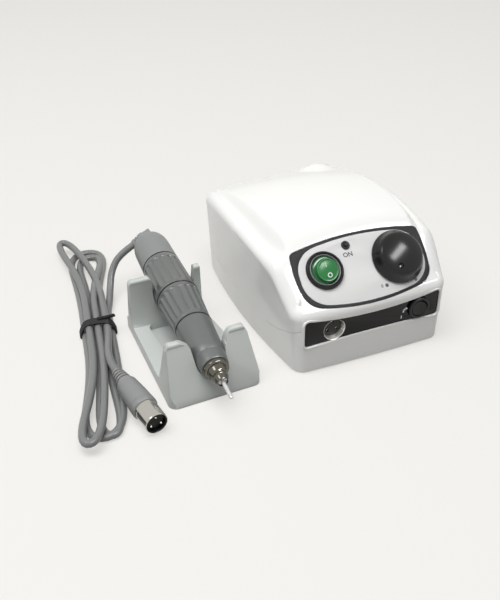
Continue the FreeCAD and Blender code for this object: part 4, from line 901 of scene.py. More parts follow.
def arc_through(first: Point, middle: Point, last: Point, count: int = 24) -> List[Point]:
    """Return points of the circle's arc through three places in a plane.

    Args:
        first: where the arc begins.
        middle: a place on it.
        last: where it ends.
        count: its number of steps.

    Returns:
        The points, from first to last.
    """
    (ax, ay), (bx, by), (cx, cy) = first, middle, last
    d = 2.0 * (ax * (by - cy) + bx * (cy - ay) + cx * (ay - by))
    a2, b2, c2 = ax * ax + ay * ay, bx * bx + by * by, cx * cx + cy * cy
    ux = (a2 * (by - cy) + b2 * (cy - ay) + c2 * (ay - by)) / d
    uy = (a2 * (cx - bx) + b2 * (ax - cx) + c2 * (bx - ax)) / d
    radius = math.hypot(ax - ux, ay - uy)
    a0 = math.atan2(ay - uy, ax - ux)
    sweep = math.atan2(cy - uy, cx - ux) - a0
    turn_way = 1.0 if (bx - ax) * (cy - ay) - (by - ay) * (cx - ax) > 0 else -1.0
    sweep = turn_way * ((turn_way * sweep) % (2.0 * math.pi))
    return [(ux + radius * math.cos(a0 + sweep * i / count), uy + radius * math.sin(a0 + sweep * i / count))
            for i in range(count + 1)]


def soften(sides: Sequence[Sequence[Point]], radii: Sequence[float], count: int = 8) -> List[Point]:
    """Return a closed outline of sides whose corners are rounded.

    Args:
        sides: point lists, each ending where the next begins.
        radii: the rounding at the end of each side.
        count: points on each rounding.

    Returns:
        The outline's points, in order.
    """
    lines = [[Vector(p) for p in side] for side in sides]

    def trim(line: List[Vector], reach: float) -> Tuple[Vector, Vector, List[Vector]]:
        """Return the place at a distance from the line's end, the way towards that end, and the rest.

        Args:
            line: the side's points.
            reach: the distance from its end.

        Returns:
            The place, the way towards the end, and the rest of the line.
        """
        rest = list(line)
        while len(rest) > 2 and (rest[-2] - line[-1]).length < reach:
            rest.pop()
        way = (rest[-1] - rest[-2]).normalized()
        short = (rest[-1] - line[-1]).length
        spot = rest[-1] - way * max(reach - short, 0.0)
        return spot, way, rest[:-1]

    joints = []
    for index, line in enumerate(lines):
        after = lines[(index + 1) % len(lines)]
        turn_by = math.pi - (line[-2] - line[-1]).angle(after[1] - after[0])
        reach = radii[index] * math.tan(turn_by / 2.0)
        p0, way_in, _ = trim(line, reach)
        p3, way_back, _ = trim(after[::-1], reach)
        bend = max(way_in.angle(-way_back), 0.05)
        pull = (p3 - p0).length / (2.0 * math.sin(bend / 2.0)) * (4.0 / 3.0) * math.tan(bend / 4.0)
        joints.append((p0, p0 + way_in * pull, p3 + way_back * pull, p3, reach))
    outline: List[Point] = []
    for index, line in enumerate(lines):
        head = joints[index - 1][4]
        tail = joints[index][4]
        outline += [(p.x, p.y) for p in line if (p - line[0]).length > head * 1.03 + 1e-6
                    and (p - line[-1]).length > tail * 1.03 + 1e-6]
        p0, p1, p2, p3 = joints[index][:4]
        for i in range(count + 1):
            t = i / count
            p = p0 * (1 - t) ** 3 + p1 * 3 * t * (1 - t) ** 2 + p2 * 3 * t * t * (1 - t) + p3 * t ** 3
            outline.append((p.x, p.y))
    return outline


def even(outline: Sequence[Point], count: int, closed: bool = True) -> List[Point]:
    """Return an outline's line walked again in equal steps.

    Args:
        outline: the line's points.
        count: how many points to return.
        closed: True where the last point leads back to the first.

    Returns:
        The new points.
    """
    line = [Vector(p) for p in outline] + ([Vector(outline[0])] if closed else [])
    marks = [0.0]
    for a, b in zip(line, line[1:]):
        marks.append(marks[-1] + (b - a).length)
    walked = []
    k = 0
    for i in range(count):
        goal = marks[-1] * i / (count if closed else count - 1)
        while k < len(marks) - 2 and marks[k + 1] < goal:
            k += 1
        span = marks[k + 1] - marks[k]
        share = 0.0 if span < 1e-9 else (goal - marks[k]) / span
        p = line[k].lerp(line[k + 1], share)
        walked.append((p.x, p.y))
    return walked


def grow(outline: Sequence[Point], by: float) -> List[Point]:
    """Return a counter-clockwise outline moved outwards by a distance, or inwards where negative.

    Args:
        outline: the outline, counter-clockwise.
        by: the distance; inwards if negative.

    Returns:
        The moved points.
    """
    moved = []
    count = len(outline)
    for i, here in enumerate(outline):
        way = Vector(outline[(i + 1) % count]) - Vector(outline[i - 1])
        out = Vector((way.y, -way.x)).normalized()
        moved.append((here[0] + out.x * by, here[1] + out.y * by))
    return moved


def soft_min(a: float, b: float, width: float) -> float:
    """Return the lesser of two heights, with the crossing rounded over a width."""
    near = max(width - abs(a - b), 0.0) / width
    return min(a, b) - near * near * width / 4.0


# Control case

@dataclass
class CaseForm:
    """The case's outer form: a barrel plan, an arched shoulder, a crowned dome and the sloping front."""

    half_front: float = 51.2
    half_mid: float = 56.5
    half_rear: float = 51.2
    y_front: float = -67.3
    y_mid: float = -14.0
    y_rear: float = 81.0
    bulge: float = 1.0
    side_draft: float = 2.8
    front_draft: float = 1.0
    rear_draft: float = 3.6
    draft_top: float = 72.0
    foot: float = 0.4
    shoulder_top: float = 65.0
    shoulder_radius: float = 264.0
    shoulder_y: float = 8.0
    lift: float = 3.6
    side_reach: float = 4.0
    front_round: float = 8.0
    # Where the shoulder's lift begins, how far on it is whole, and how far the slope stands
    # over the panel's plane.
    lift_y: float = -18.0
    lift_run: float = 32.0
    slope_proud: float = 1.35
    dome_top: float = 75.6
    dome_long: float = 200.0
    dome_y: float = -4.0
    dome_cross: float = 330.0
    hump_at: Point = (28.0, 68.0)
    hump_radius: float = 19.0
    hump_rise: float = 4.6
    step_wide: float = 4.6
    lean: float = 0.5
    outer_round: float = 6.0
    base_round: float = 1.4
    around: int = 384

    def plan(self) -> List[Point]:
        """Return the plan outline, counter-clockwise from the middle of the front, left and right alike.

        Returns:
            The plan's points, counter-clockwise.
        """
        corner_y = self.y_front + self.bulge
        front = arc_through((-self.half_front, corner_y), (0.0, self.y_front),
                            (self.half_front, corner_y), 48)
        right = arc_through((self.half_front, corner_y), (self.half_mid, self.y_mid),
                            (self.half_rear, self.y_rear), 72)
        rear = [(self.half_rear - i * self.half_rear / 24.0, self.y_rear) for i in range(49)]
        left = [(-x, y) for x, y in reversed(right)]
        whole = soften([front, right, rear, left], [9.0, 14.0, 14.0, 9.0], 14)
        start = min(range(len(whole)), key=lambda i: abs(whole[i][0]) + (0.0 if whole[i][1] < 0 else 1e3))
        whole = whole[start:] + whole[:start]
        half = [p for p in whole if p[0] > 1e-6 and p != whole[0]]
        half = [(0.0, self.y_front)] + half + [(0.0, self.y_rear)]
        walked = even(half, self.around // 2 + 1, closed=False)
        return walked + [(-x, y) for x, y in reversed(walked[1:-1])]

    def slope(self, y: float) -> float:
        """Return the height of the sloping front's plane."""
        across = y - PANEL_FOOT.y
        return PANEL_FOOT.z + across * math.tan(PANEL_ANGLE) + self.slope_proud / math.cos(PANEL_ANGLE)

    def shoulder(self, y: float) -> float:
        """Return the height of the shoulder at a depth."""
        radius = self.shoulder_radius
        arch = self.shoulder_top - radius + math.sqrt(radius ** 2 - (y - self.shoulder_y) ** 2)
        return soft_min(arch + self.lift * self.nearness(y), self.slope(y), 4.0)

    def nearness(self, y: float) -> float:
        """Return 0 behind the panel and 1 beside it, where the shoulder runs into the slope."""
        share = min(1.0, max(0.0, (self.lift_y - y) / self.lift_run))
        return share * share * (3.0 - 2.0 * share)

    def dome(self, x: float, y: float) -> float:
        """Return the height of the crowned dome, with the low hump at its rear right.

        Args:
            x: place across.
            y: place in depth.

        Returns:
            The height in millimetres.
        """
        rho = self.dome_long - x * x / (2.0 * self.dome_cross)
        crown = self.dome_top - self.dome_long + math.sqrt(rho * rho - (y - self.dome_y) ** 2)
        apart = math.hypot(x - self.hump_at[0], y - self.hump_at[1]) / self.hump_radius
        if apart < 1.0:
            crown += self.hump_rise * (0.5 + 0.5 * math.cos(math.pi * apart))
        return soft_min(crown, self.slope(y), 7.0)

    def solid(self, name: str, wall: float = 0.0) -> bpy.types.Object:
        """Raise the form ring by ring from a circle, and close its base and crown.

        Args:
            name: the piece's name.
            wall: how far inside the outer form it lies.

        Returns:
            The closed form, in millimetres about the case's middle.
        """
        return stack(name, CaseRings(self, wall, wall > 0.0).build(), True)


@dataclass(frozen=True)
class Flank:
    """What one place round the plan meets on its way up, in millimetres.

    top is the shoulder's height, rise how far the dome stands over it, reach and fall the
    width and depth of the shoulder's rounding, and brow where the slope's rounding begins.
    """

    top: float
    rise: float
    reach: float
    fall: float
    brow: float


@dataclass
class CaseRings:
    """The rings of points that raise the case's form, from the base to the crown.

    wall is how far inside the outer form they lie, and coarse asks for fewer of them, as
    on the hidden inside. Each ring blends the sides' outline into the front's.
    """

    form: CaseForm
    wall: float
    coarse: bool
    # The tangent of a sixteenth of a turn, and one less the cosine of an eighth.
    eighth_tan: float = 0.414
    eighth_drop: float = 0.293
    # The crown's wall is a little thicker than the sides'.
    crown_wall: float = 1.1
    # How far in the shoulder's height is read, the height of the front wall at which the
    # slope's is read, and how far in from the front wall the slope's rings run.
    probe: float = 2.0
    front_probe: float = 40.0
    front_run: float = 10.5

    def __post_init__(self) -> None:
        """Work out the plan, its directions and what each place meets on its way up."""
        form = self.form
        self.plan: List[Point] = form.plan()
        count = len(self.plan)
        self.inward: List[Vector] = []
        self.slant: List[float] = []
        self.fore: List[float] = []
        for i in range(count):
            way = (Vector(self.plan[(i + 1) % count]) - Vector(self.plan[i - 1])).normalized()
            self.inward.append(Vector((-way.y, way.x)))
            end = form.front_draft if way.x > 0.0 else form.rear_draft
            self.slant.append(form.side_draft * abs(way.y) + end * abs(way.x))
            self.fore.append(max(0.0, way.x) ** 1.5)
        self.low: float = form.foot + self.wall
        self.drop: float = self.wall * self.crown_wall
        self.flanks: List[Flank] = [self.flank(i) for i in range(count)]

    def spot(self, i: int, d: float) -> Vector:
        """Return the place at a distance inside the plan's point i."""
        return Vector(self.plan[i]) + self.inward[i] * d

    def inset(self, i: int, z: float) -> float:
        """Return how far in the drafted wall stands at a height."""
        form = self.form
        return self.wall + self.slant[i] * (1.0 - (z - form.foot) / (form.draft_top - form.foot))

    def level(self, i: int, d: float) -> float:
        """Return the dome's height at a distance inside the plan's point i."""
        p = self.spot(i, d)
        return self.form.dome(p.x, p.y) - self.drop

    def flank(self, i: int) -> Flank:
        """Return what the plan's point i meets on its way up.

        Args:
            i: the point's number.

        Returns:
            Its heights and reaches.
        """
        form = self.form
        depth = self.spot(i, self.probe).y
        near = form.nearness(depth) * abs(self.inward[i].x)
        reach = form.outer_round + form.side_reach * near
        top = form.shoulder(depth) - self.drop
        rise = max(0.0, self.level(i, self.wall + reach + form.step_wide) - top)
        brow = (form.slope(self.spot(i, self.inset(i, self.front_probe)).y) - self.drop
                - self.eighth_tan * form.front_round)
        return Flank(top, rise, reach, form.outer_round + form.lift * near, brow)

    def base(self, i: int, flank: Flank, t: float) -> Point:
        """Return the inset and height on the base's rounding, which is the same for every flank."""
        a = math.pi / 2.0 * t
        z = self.low + self.form.base_round * (1 - math.cos(a))
        return self.inset(i, z) + self.form.base_round * (1 - math.sin(a)), z

    def wall_to(self, i: int, high: float, t: float) -> Point:
        """Return the inset and height on a straight wall that ends at a height."""
        foot = self.low + self.form.base_round
        z = foot + (high - foot) * t
        return self.inset(i, z), z

    def side_wall(self, i: int, flank: Flank, t: float) -> Point:
        """Return the inset and height on the side wall."""
        return self.wall_to(i, flank.top - flank.fall, t)

    def front_wall(self, i: int, flank: Flank, t: float) -> Point:
        """Return the inset and height on the front wall."""
        return self.wall_to(i, flank.brow, t)

    def side_round(self, i: int, flank: Flank, t: float) -> Point:
        """Return the inset and height on the shoulder's outer rounding."""
        a = math.pi / 2.0 * t
        return (self.inset(i, flank.top) + flank.reach * (1 - math.cos(a)),
                flank.top - flank.fall * (1 - math.sin(a)))

    def front_turn(self, i: int, flank: Flank, t: float) -> Point:
        """Return the inset and height on the rounding between the front and the slope."""
        a = math.pi / 4.0 * t
        size = self.form.front_round
        return self.inset(i, flank.brow) + size * (1 - math.cos(a)), flank.brow + size * math.sin(a)

    def side_bend(self, i: int, flank: Flank, t: float) -> Point:
        """Return the inset and height on the bend from the shoulder up to the dome."""
        d = (self.inset(i, flank.top) + flank.reach + 0.5
             + (self.form.step_wide + self.form.lean * flank.rise) * t)
        return d, flank.top + (self.level(i, d) - flank.top) * t * t * (3.0 - 2.0 * t)

    def front_bend(self, i: int, flank: Flank, t: float) -> Point:
        """Return the inset and height up the slope."""
        turned = self.eighth_drop * self.form.front_round
        d = self.inset(i, flank.brow) + turned + (self.front_run + self.wall - turned) * t
        return d, self.level(i, d)

    def ring(self, side: Callable[..., Point], front: Callable[..., Point], t: float) -> List[Vector]:
        """Return one ring, blended from the sides' outline into the front's.

        Args:
            side: gives the inset and height on the sides.
            front: the same on the front.
            t: how far along its part the ring lies, from 0 to 1.

        Returns:
            The ring's points.
        """
        points = []
        for i, flank in enumerate(self.flanks):
            d0, z0 = side(i, flank, t)
            d1, z1 = front(i, flank, t)
            p = self.spot(i, d0 + (d1 - d0) * self.fore[i])
            points.append(Vector((p.x, p.y, z0 + (z1 - z0) * self.fore[i])))
        return points

    def build(self) -> List[List[Vector]]:
        """Return every ring, each of the same length, about the case's middle.

        Returns:
            The rings, each a list of points.
        """
        steps, walls, bends, inner = (3, 5, 8, 8) if self.coarse else (7, 17, 22, 30)
        rings = [self.ring(self.base, self.base, k / steps) for k in range(steps + 1)]
        rings += [self.ring(self.side_wall, self.front_wall, k / walls) for k in range(1, walls)]
        rings += [self.ring(self.side_round, self.front_turn, k / (steps + 3)) for k in range(steps + 4)]
        rings += [self.ring(self.side_bend, self.front_bend, k / bends) for k in range(1, bends + 1)]
        last = [Vector((p.x, p.y)) for p in rings[-1]]
        for k in range(1, inner):
            walked = [p.lerp(Vector((0.0, p.y * 0.5)), k / inner) for p in last]
            rings.append([Vector((q.x, q.y, self.form.dome(q.x, q.y) - self.drop)) for q in walked])
        return rings


@dataclass
class PanelForm:
    """The outlines printed on the sloping panel, in millimetres across it and up it."""

    border_round: Tuple[float, float] = (2.6, 15.0)
    oval_round: float = 20.0

    @staticmethod
    def quad(top: Point, top_mid: float, side: Point, low: Point, low_mid: float,
             rounds: Tuple[float, float]) -> List[Point]:
        """Return a four-sided outline of shallow arcs with rounded corners.

        Args:
            top: the upper right corner.
            top_mid: the upper side's height in the middle.
            side: the middle of the right side.
            low: the lower right corner.
            low_mid: the lower side's height in the middle.
            rounds: the rounding of the upper and of the lower corners.

        Returns:
            The outline.
        """
        lower = arc_through((-low[0], low[1]), (0.0, low_mid), low, 32)
        right = arc_through(low, side, top, 24)
        upper = arc_through(top, (0.0, top_mid), (-top[0], top[1]), 32)
        left = arc_through((-top[0], top[1]), (-side[0], side[1]), (-low[0], low[1]), 24)
        return soften([lower, right, upper, left], [rounds[1], rounds[0], rounds[0], rounds[1]], 10)

    def border(self) -> List[Point]:
        """Return the dark border's outer edge."""
        return self.quad((42.0, 37.9), 42.5, (43.0, 22.0), (40.3, 4.6), -1.0, self.border_round)

    def oval(self) -> List[Point]:
        """Return the white field's edge."""
        return self.quad((38.4, 36.3), 40.8, (40.4, 21.5), (38.2, 6.0), 0.7,
                         (self.oval_round, self.oval_round))


@dataclass
class ControlCase:
    """The two white shells, with every opening, and the lip round the strip."""

    form: CaseForm = field(default_factory=CaseForm)
    panel: PanelForm = field(default_factory=PanelForm)
    wall: float = 2.5
    strip_half: float = 44.5
    strip_low: float = 19.0
    strip_low_mid: float = 19.9
    strip_high: float = 36.5
    strip_high_mid: float = 32.9
    seam_gap: float = 0.25
    # The lip's width, its height over its foot, and its foot over the strip's plane.
    lip_width: float = 1.7
    lip_proud: float = 0.8
    lip_base: float = 0.25

    def strip_outline(self, by: float = 0.0) -> List[Point]:
        """Return the front strip's outline in x and z, grown by a distance.

        Args:
            by: how far it is grown.

        Returns:
            The outline's points.
        """
        h, low, high = self.strip_half, self.strip_low, self.strip_high
        lower = arc_through((-h, low), (0.0, self.strip_low_mid), (h, low), 24)
        upper = arc_through((h, high), (0.0, self.strip_high_mid), (-h, high), 24)
        right = [(h, low + (high - low) * i / 8.0) for i in range(9)]
        left = [(-h, high - (high - low) * i / 8.0) for i in range(9)]
        return grow(soften([lower, right, upper, left], [2.2] * 4, 6), by)

    def recesses(self) -> bpy.types.Object:
        """Return the cutters of the panel's and the strip's recesses.

        Returns:
            The joined cutters, about the case's middle.
        """
        panel = slab("panel_recess", grow(self.panel.border(), 0.12), 0.0, 9.0)
        strip = slab("strip_recess", self.strip_outline(0.15), -1.1, 12.0)
        place(panel, on_panel())
        place(strip, on_front())
        tool = combine([panel, strip], "recesses")
        return place(tool, in_set().inverted())

    def holes(self) -> bpy.types.Object:
        """Return the cutters of the round and square holes.

        Returns:
            The joined cutters, about the case's middle.
        """
        tools = []
        for name, radius, low, where in (("rocker_hole", ROCKER_HOLE, -12.0, on_panel(*ROCKER_AT)),
                                         ("shaft_hole", SHAFT_HOLE, -12.0, on_panel(*KNOB_AT)),
                                         ("lamp_hole", LAMP_HOLE, -12.0, on_panel(*LAMP_AT)),
                                         ("socket_hole", 7.15, -12.0, on_front(*SOCKET_AT)),
                                         ("direction_hole", 6.35, -12.0, on_front(*SWITCH_AT)),
                                         ("fuse_hole", 6.6, -155.0, on_front(14.0, 32.0, 0.0))):
            high = -135.0 if name == "fuse_hole" else 1.0
            tools.append(place(rod(name, radius, low, high, 64), where))
        inlet = slab("inlet_hole", [(-35.7, 62.0), (-8.3, 62.0), (-8.3, 90.0), (-35.7, 90.0)], 21.8, 42.2)
        tools.append(place(inlet, in_set()))
        return place(combine(tools, "holes"), in_set().inverted())

    def seam_tool(self, gap: float) -> bpy.types.Object:
        """Return the space under the seam, which climbs towards the front.

        Args:
            gap: how far below the seam the space ends.

        Returns:
            The space as a solid.
        """
        side = [(-90.0, -10.0), (90.0, -10.0), (90.0, 18.0 - gap), (-27.0, 18.0 - gap)]
        bend = arc_through((-27.0, 18.0), (-46.0, 22.2), (-66.0, 31.0), 20)[1:]
        side += [(y, z - gap) for y, z in bend] + [(-90.0, 43.0 - gap)]
        tool = slab("seam", side, -80.0, 80.0)
        return place(tool, Matrix(((0, 0, 1, 0), (1, 0, 0, 0), (0, 1, 0, 0), (0, 0, 0, 1))))

    def shells(self) -> List[bpy.types.Object]:
        """Return the lower and the upper shell.

        Returns:
            The lower shell, then the upper one.
        """
        whole = self.form.solid("upper_shell")
        cut(whole, self.form.solid("hollow", self.wall))
        cut(whole, self.recesses())
        cut(whole, self.holes())
        take(whole)
        bpy.ops.object.duplicate()
        lower = fresh("lower_shell")
        cut(lower, self.seam_tool(self.seam_gap), "INTERSECT")
        cut(whole, self.seam_tool(0.0))
        return [lower, whole]

    def lip(self) -> None:
        """Build the rounded lip round the strip."""
        inner = even(self.strip_outline(0.1), 220)
        half = self.lip_width / 2.0
        rows = []
        for k in range(9):
            a = math.pi * k / 8.0
            rows.append([Vector((x, y, self.lip_base + self.lip_proud * math.sin(a)))
                         for x, y in grow(inner, half - half * math.cos(a))])
        for edge in (grow(inner, self.lip_width), inner):
            rows.append([Vector((x, y, self.lip_base - 1.0)) for x, y in edge])
        piece = stack("strip_lip", rows + rows[:1])
        install(piece, None, on_front(), "case", CASE_ABS, 50.0)

    def build(self) -> None:
        """Build both shells and the lip."""
        lower, upper = self.shells()
        for piece, node in ((lower, "lower_case"), (upper, "upper_case")):
            install(piece, node, in_set(), "case", CASE_ABS)
        self.lip()


# Sloping panel

def words(name: str, text: str, height: float, where: Matrix, rise: float = 0.06) -> bpy.types.Object:
    """Return screen-printed characters as a thin raised film.

    Args:
        name: the piece's name.
        text: what is printed.
        height: letter height in millimetres.
        where: the place of the text's middle.
        rise: the ink's thickness, drawn thick enough to show.

    Returns:
        The print in its place.
    """
    clear_selection()
    bpy.ops.object.text_add(location=(0.0, 0.0, 0.0))
    curve = bpy.context.active_object
    curve.data.body = text
    curve.data.align_x = "CENTER"
    curve.data.align_y = "CENTER"
    curve.data.size = height / CAPITAL
    curve.data.extrude = rise / 2.0
    curve.data.offset = 0.035 * height
    bpy.ops.object.convert(target="MESH")
    return place(fresh(name), where)


def dot(name: str, radius: float, where: Matrix, rise: float = 0.06) -> bpy.types.Object:
    """Return one printed dot with a soft edge."""
    piece = turn(name, [(-rise, 0.0), (-rise, radius), (rise * 0.5, radius), (rise, radius * 0.94),
                        (rise, 0.0)], 40)
    return place(piece, where)


@dataclass
class ControlPanel:
    """The printed panel: dark border, white field, its prints and the pilot lamp."""

    form: PanelForm = field(default_factory=PanelForm)
    field_thick: float = 1.5
    border_thick: float = 1.0

    def border(self) -> None:
        """Build the dark border as a flat frame with eased edges."""
        frame_piece = slab("dark_border", grow(self.form.border(), -0.15), 0.0, self.border_thick)
        cut(frame_piece, slab("field_gap", grow(self.form.oval(), 0.05), -1.0, 3.0))
        bevel(frame_piece, 0.22, 3, 50.0)
        install(frame_piece, "panel_border", on_panel(), "case", PANEL_INK)

    def white_field(self) -> None:
        """Build the white field with its three holes, a little proud of the border."""
        sheet = slab("white_field", grow(self.form.oval(), -0.1), 0.0, self.field_thick)
        spots = ((*ROCKER_AT, ROCKER_HOLE), (*KNOB_AT, SHAFT_HOLE), (*LAMP_AT, LAMP_HOLE))
        cut(sheet, drills("holes", spots, -1.0, 3.0, 64))
        bevel(sheet, 0.3, 3, 50.0)
        install(sheet, "panel_face", on_panel(), "case", PANEL_SHEET)

    def prints(self) -> None:
        """Print the word by the lamp, the two end dots of the speed scale and its tick."""
        top = self.field_thick
        on_word = words("on_print", "ON", 2.8, on_panel(-6.9, 29.9, top))
        settle(on_word, "case", PRINT_GREY)
        ends = [dot("scale_dot_low", 1.1, on_panel(10.7, 6.8, top)),
                dot("scale_dot_high", 1.1, on_panel(29.9, 6.3, top))]
        settle(combine(ends, "scale_dots"), "case", PRINT_INK)
        tick = words("scale_zero", "0", 1.9, on_panel(7.6, 6.9, top))
        settle(tick, "case", PRINT_GREY)

    def lamp(self) -> None:
        """Build the pilot lamp: a black ring round a small dark lens."""
        where = on_panel(*LAMP_AT, self.field_thick)
        ring = turn("lamp_ring", [(-7.0, 1.56), (-7.0, 2.1), (0.0, 2.1), (0.0, 2.7), (0.35, 2.7), (0.72, 2.5),
                                  (0.88, 2.2), (0.9, 1.9), (0.72, 1.56), (-7.0, 1.56)], 48)
        install(ring, "pilot_lamp_bezel", where, "case", SWITCH_NYLON)
        bead = arc((0.5, 0.0), 1.46, 90.0, 0.0, 9)
        lens = turn("lamp_lens", [(-5.0, 0.0), (-5.0, 1.46)] + bead, 40)
        install(lens, "pilot_lamp", where, "case", LAMP_LENS, 40.0)

    def build(self) -> None:
        """Build the panel and what is fixed to it."""
        self.border()
        self.white_field()
        self.prints()
        self.lamp()


@dataclass
class PowerSwitch:
    """The round illuminated rocker in its black flange, with a clear ring between them; its green glow is
    painted.
    """

    at: Point = ROCKER_AT
    seat: float = 1.5
    tilt: float = math.radians(10.0)

    def flange(self) -> None:
        """Build the black flange and barrel, and the clear ring inside it."""
        where = on_panel(*self.at, self.seat)
        body = turn("rocker_flange", [
            (-20.0, 0.0), (-20.0, 10.6), (0.0, 10.6), (0.0, 11.5), (0.8, 11.5), (1.5, 11.35), (2.0, 11.0),
            (2.25, 10.5), (2.15, 10.1), (1.8, 9.75), (1.2, 9.55), (-0.5, 9.5), (-14.0, 9.5),
            (-14.0, 0.0)], 96)
        install(body, "power_switch_body", where, "case", SWITCH_NYLON)
        # The clear ring is coloured pale grey: painted reflection in place of clear plastic.
        ring = turn("clear_ring", [(-3.0, 8.8), (-3.0, 9.4), (1.3, 9.4), (1.75, 9.32), (2.0, 9.15),
                                   (1.9, 8.92), (1.3, 8.8), (-3.0, 8.8)], 96)
        install(ring, None, where, "case", CLEAR_RING_PAINTED_REFLECTION, 50.0)

    def rocker(self) -> None:
        """Build the green lens with its raised round field, the thin pale ring on that field's rim, which is a
        painted highlight, and the two marks.
        """
        lean = Matrix.Translation((0.0, 0.0, -0.6)) @ Matrix.Rotation(self.tilt, 4, "X")
        where = on_panel(*self.at, self.seat) @ lean
        raised = where @ Matrix.Translation((0.9, 0.0, 0.0))
        lens = turn("rocker_lens", [
            (-4.0, 0.0), (-4.0, 7.8), (-2.0, 8.4), (0.0, 8.6), (0.8, 8.5), (1.4, 8.3), (1.75, 7.9),
            (1.9, 7.4), (1.95, 3.0), (1.95, 0.0)], 96)
        table = turn("lens_table", [(1.0, 0.0), (1.0, 7.3), (1.9, 7.2), (2.9, 6.95), (3.6, 6.6), (3.85, 6.3),
                                    (3.8, 5.9), (3.55, 5.6), (3.6, 5.0), (3.85, 3.6), (4.0, 1.8),
                                    (4.05, 0.0)], 96)
        # The lens's edge is the darker green, painted shade, and the raised field the lighter green, painted
        # light; both carry a painted glow.
        install(lens, "power_rocker", where, "power_rocker", GREEN_PAINTED_SHADE_AND_GLOW)
        install(table, None, raised, "power_rocker", GREEN_PAINTED_LIGHT_AND_GLOW)
        pivot = turn("rocker_pins", [(-9.75, 0.0), (-9.75, 1.0), (-9.6, 1.1), (9.6, 1.1), (9.75, 1.0),
                                     (9.75, 0.0)], 24)
        across = where @ Matrix.Rotation(math.radians(90.0), 4, "Y")
        install(pivot, None, across, "power_rocker", GREEN_PAINTED_SHADE_AND_GLOW)
        # A thin pale ring on the raised field's rim: painted highlight where that rim catches the light.
        line = turn("rocker_painted_rim_highlight", [(3.7, 6.3), (3.86, 6.28), (3.9, 6.34), (3.82, 6.4), (3.7, 6.42),
                                      (3.7, 6.3)], 96)
        install(line, None, raised, "power_rocker", CLEAR_RING_PAINTED_REFLECTION, 50.0)
        on_mark = words("rocker_one", "I", 2.4, raised @ Matrix.Translation((-0.7, 2.9, 4.0)), 0.1)
        off_mark = words("rocker_nought", "O", 2.8, raised @ Matrix.Translation((0.4, -3.3, 4.02)), 0.12)
        for mark in (on_mark, off_mark):
            settle(mark, "power_rocker", PRINT_WHITE)

    def build(self) -> None:
        """Build the switch."""
        self.flange()
        self.rocker()


@dataclass
class SpeedKnob:
    """The large round knob: a conical skirt, a rounded crest and a shallow crown with its dimple."""

    at: Point = KNOB_AT
    seat: float = 1.5
    radius: float = 16.3
    height: float = 10.8
    mark_angle: float = math.radians(240.0)
    mark_radius: float = 8.8

    def profile(self) -> List[Point]:
        """Return the knob's outer profile from its foot to its middle.

        Returns:
            Pairs of height and radius.
        """
        r, h = self.radius, self.height
        foot = [(0.6, 10.7), (0.6, r - 0.3), (0.8, r - 0.05), (1.15, r), (1.8, r)]
        skirt = [(1.8 + (h - 5.9) * i / 8.0, r - 2.6 * i / 8.0 - 0.18 * math.sin(math.pi * i / 8.0))
                 for i in range(1, 9)]
        crest = [(h - 3.95, r - 2.7), (h - 3.45, r - 2.95), (h - 2.95, r - 3.4), (h - 2.55, r - 3.95),
                 (h - 2.2, r - 4.7), (h - 1.85, r - 5.6)]
        top = [(h - 1.85 * (radius / (r - 5.6)) ** 2, radius) for radius in (9.6, 8.2, 6.6, 5.0, 3.4, 1.7)]
        return foot + skirt + crest + top + [(h, 0.0)]

    def build(self) -> None:
        """Turn the knob, hollow it, sink its pointer dimple and set a white dot in it, partly the pointer's
        mark and partly a painted highlight.
        """
        where = on_panel(*self.at, self.seat)
        cap = turn("knob_cap", [(0.6, 0.0)] + self.profile(), 128)
        cut(cap, rod("hollow", self.radius - 5.6, -1.0, self.height - 4.5, 96))
        hub = rod("hub", 5.2, 2.6, self.height - 4.0, 64)
        cut(hub, rod("bore", 3.03, 0.0, self.height - 5.0, 48))
        cut(cap, hub, "UNION")
        x = math.cos(self.mark_angle) * self.mark_radius
        y = math.sin(self.mark_angle) * self.mark_radius
        clear_selection()
        bpy.ops.mesh.primitive_uv_sphere_add(segments=48, ring_count=24, radius=1.75,
                                             location=(x, y, self.height - 0.7))
        ball = fresh("dimple")
        bpy.ops.object.transform_apply(location=True, rotation=True, scale=True)
        cut(cap, ball)
        bevel(cap, 0.12, 2, 45.0)
        install(cap, "speed_knob", where, "speed_control", KNOB_PHENOLIC, 40.0)
        # The white dot in the pointer dimple marks the pointer and is also a painted highlight: the dimple's
        # glint.
        level = self.height - 1.85 * (self.mark_radius / (self.radius - 5.6)) ** 2
        bead = place(dot("knob_pointer_painted_glint", 0.5, Matrix.Translation((x, y, level - 1.2)), 0.12), where)
        settle(bead, "speed_control", PRINT_WHITE)


# Front strip

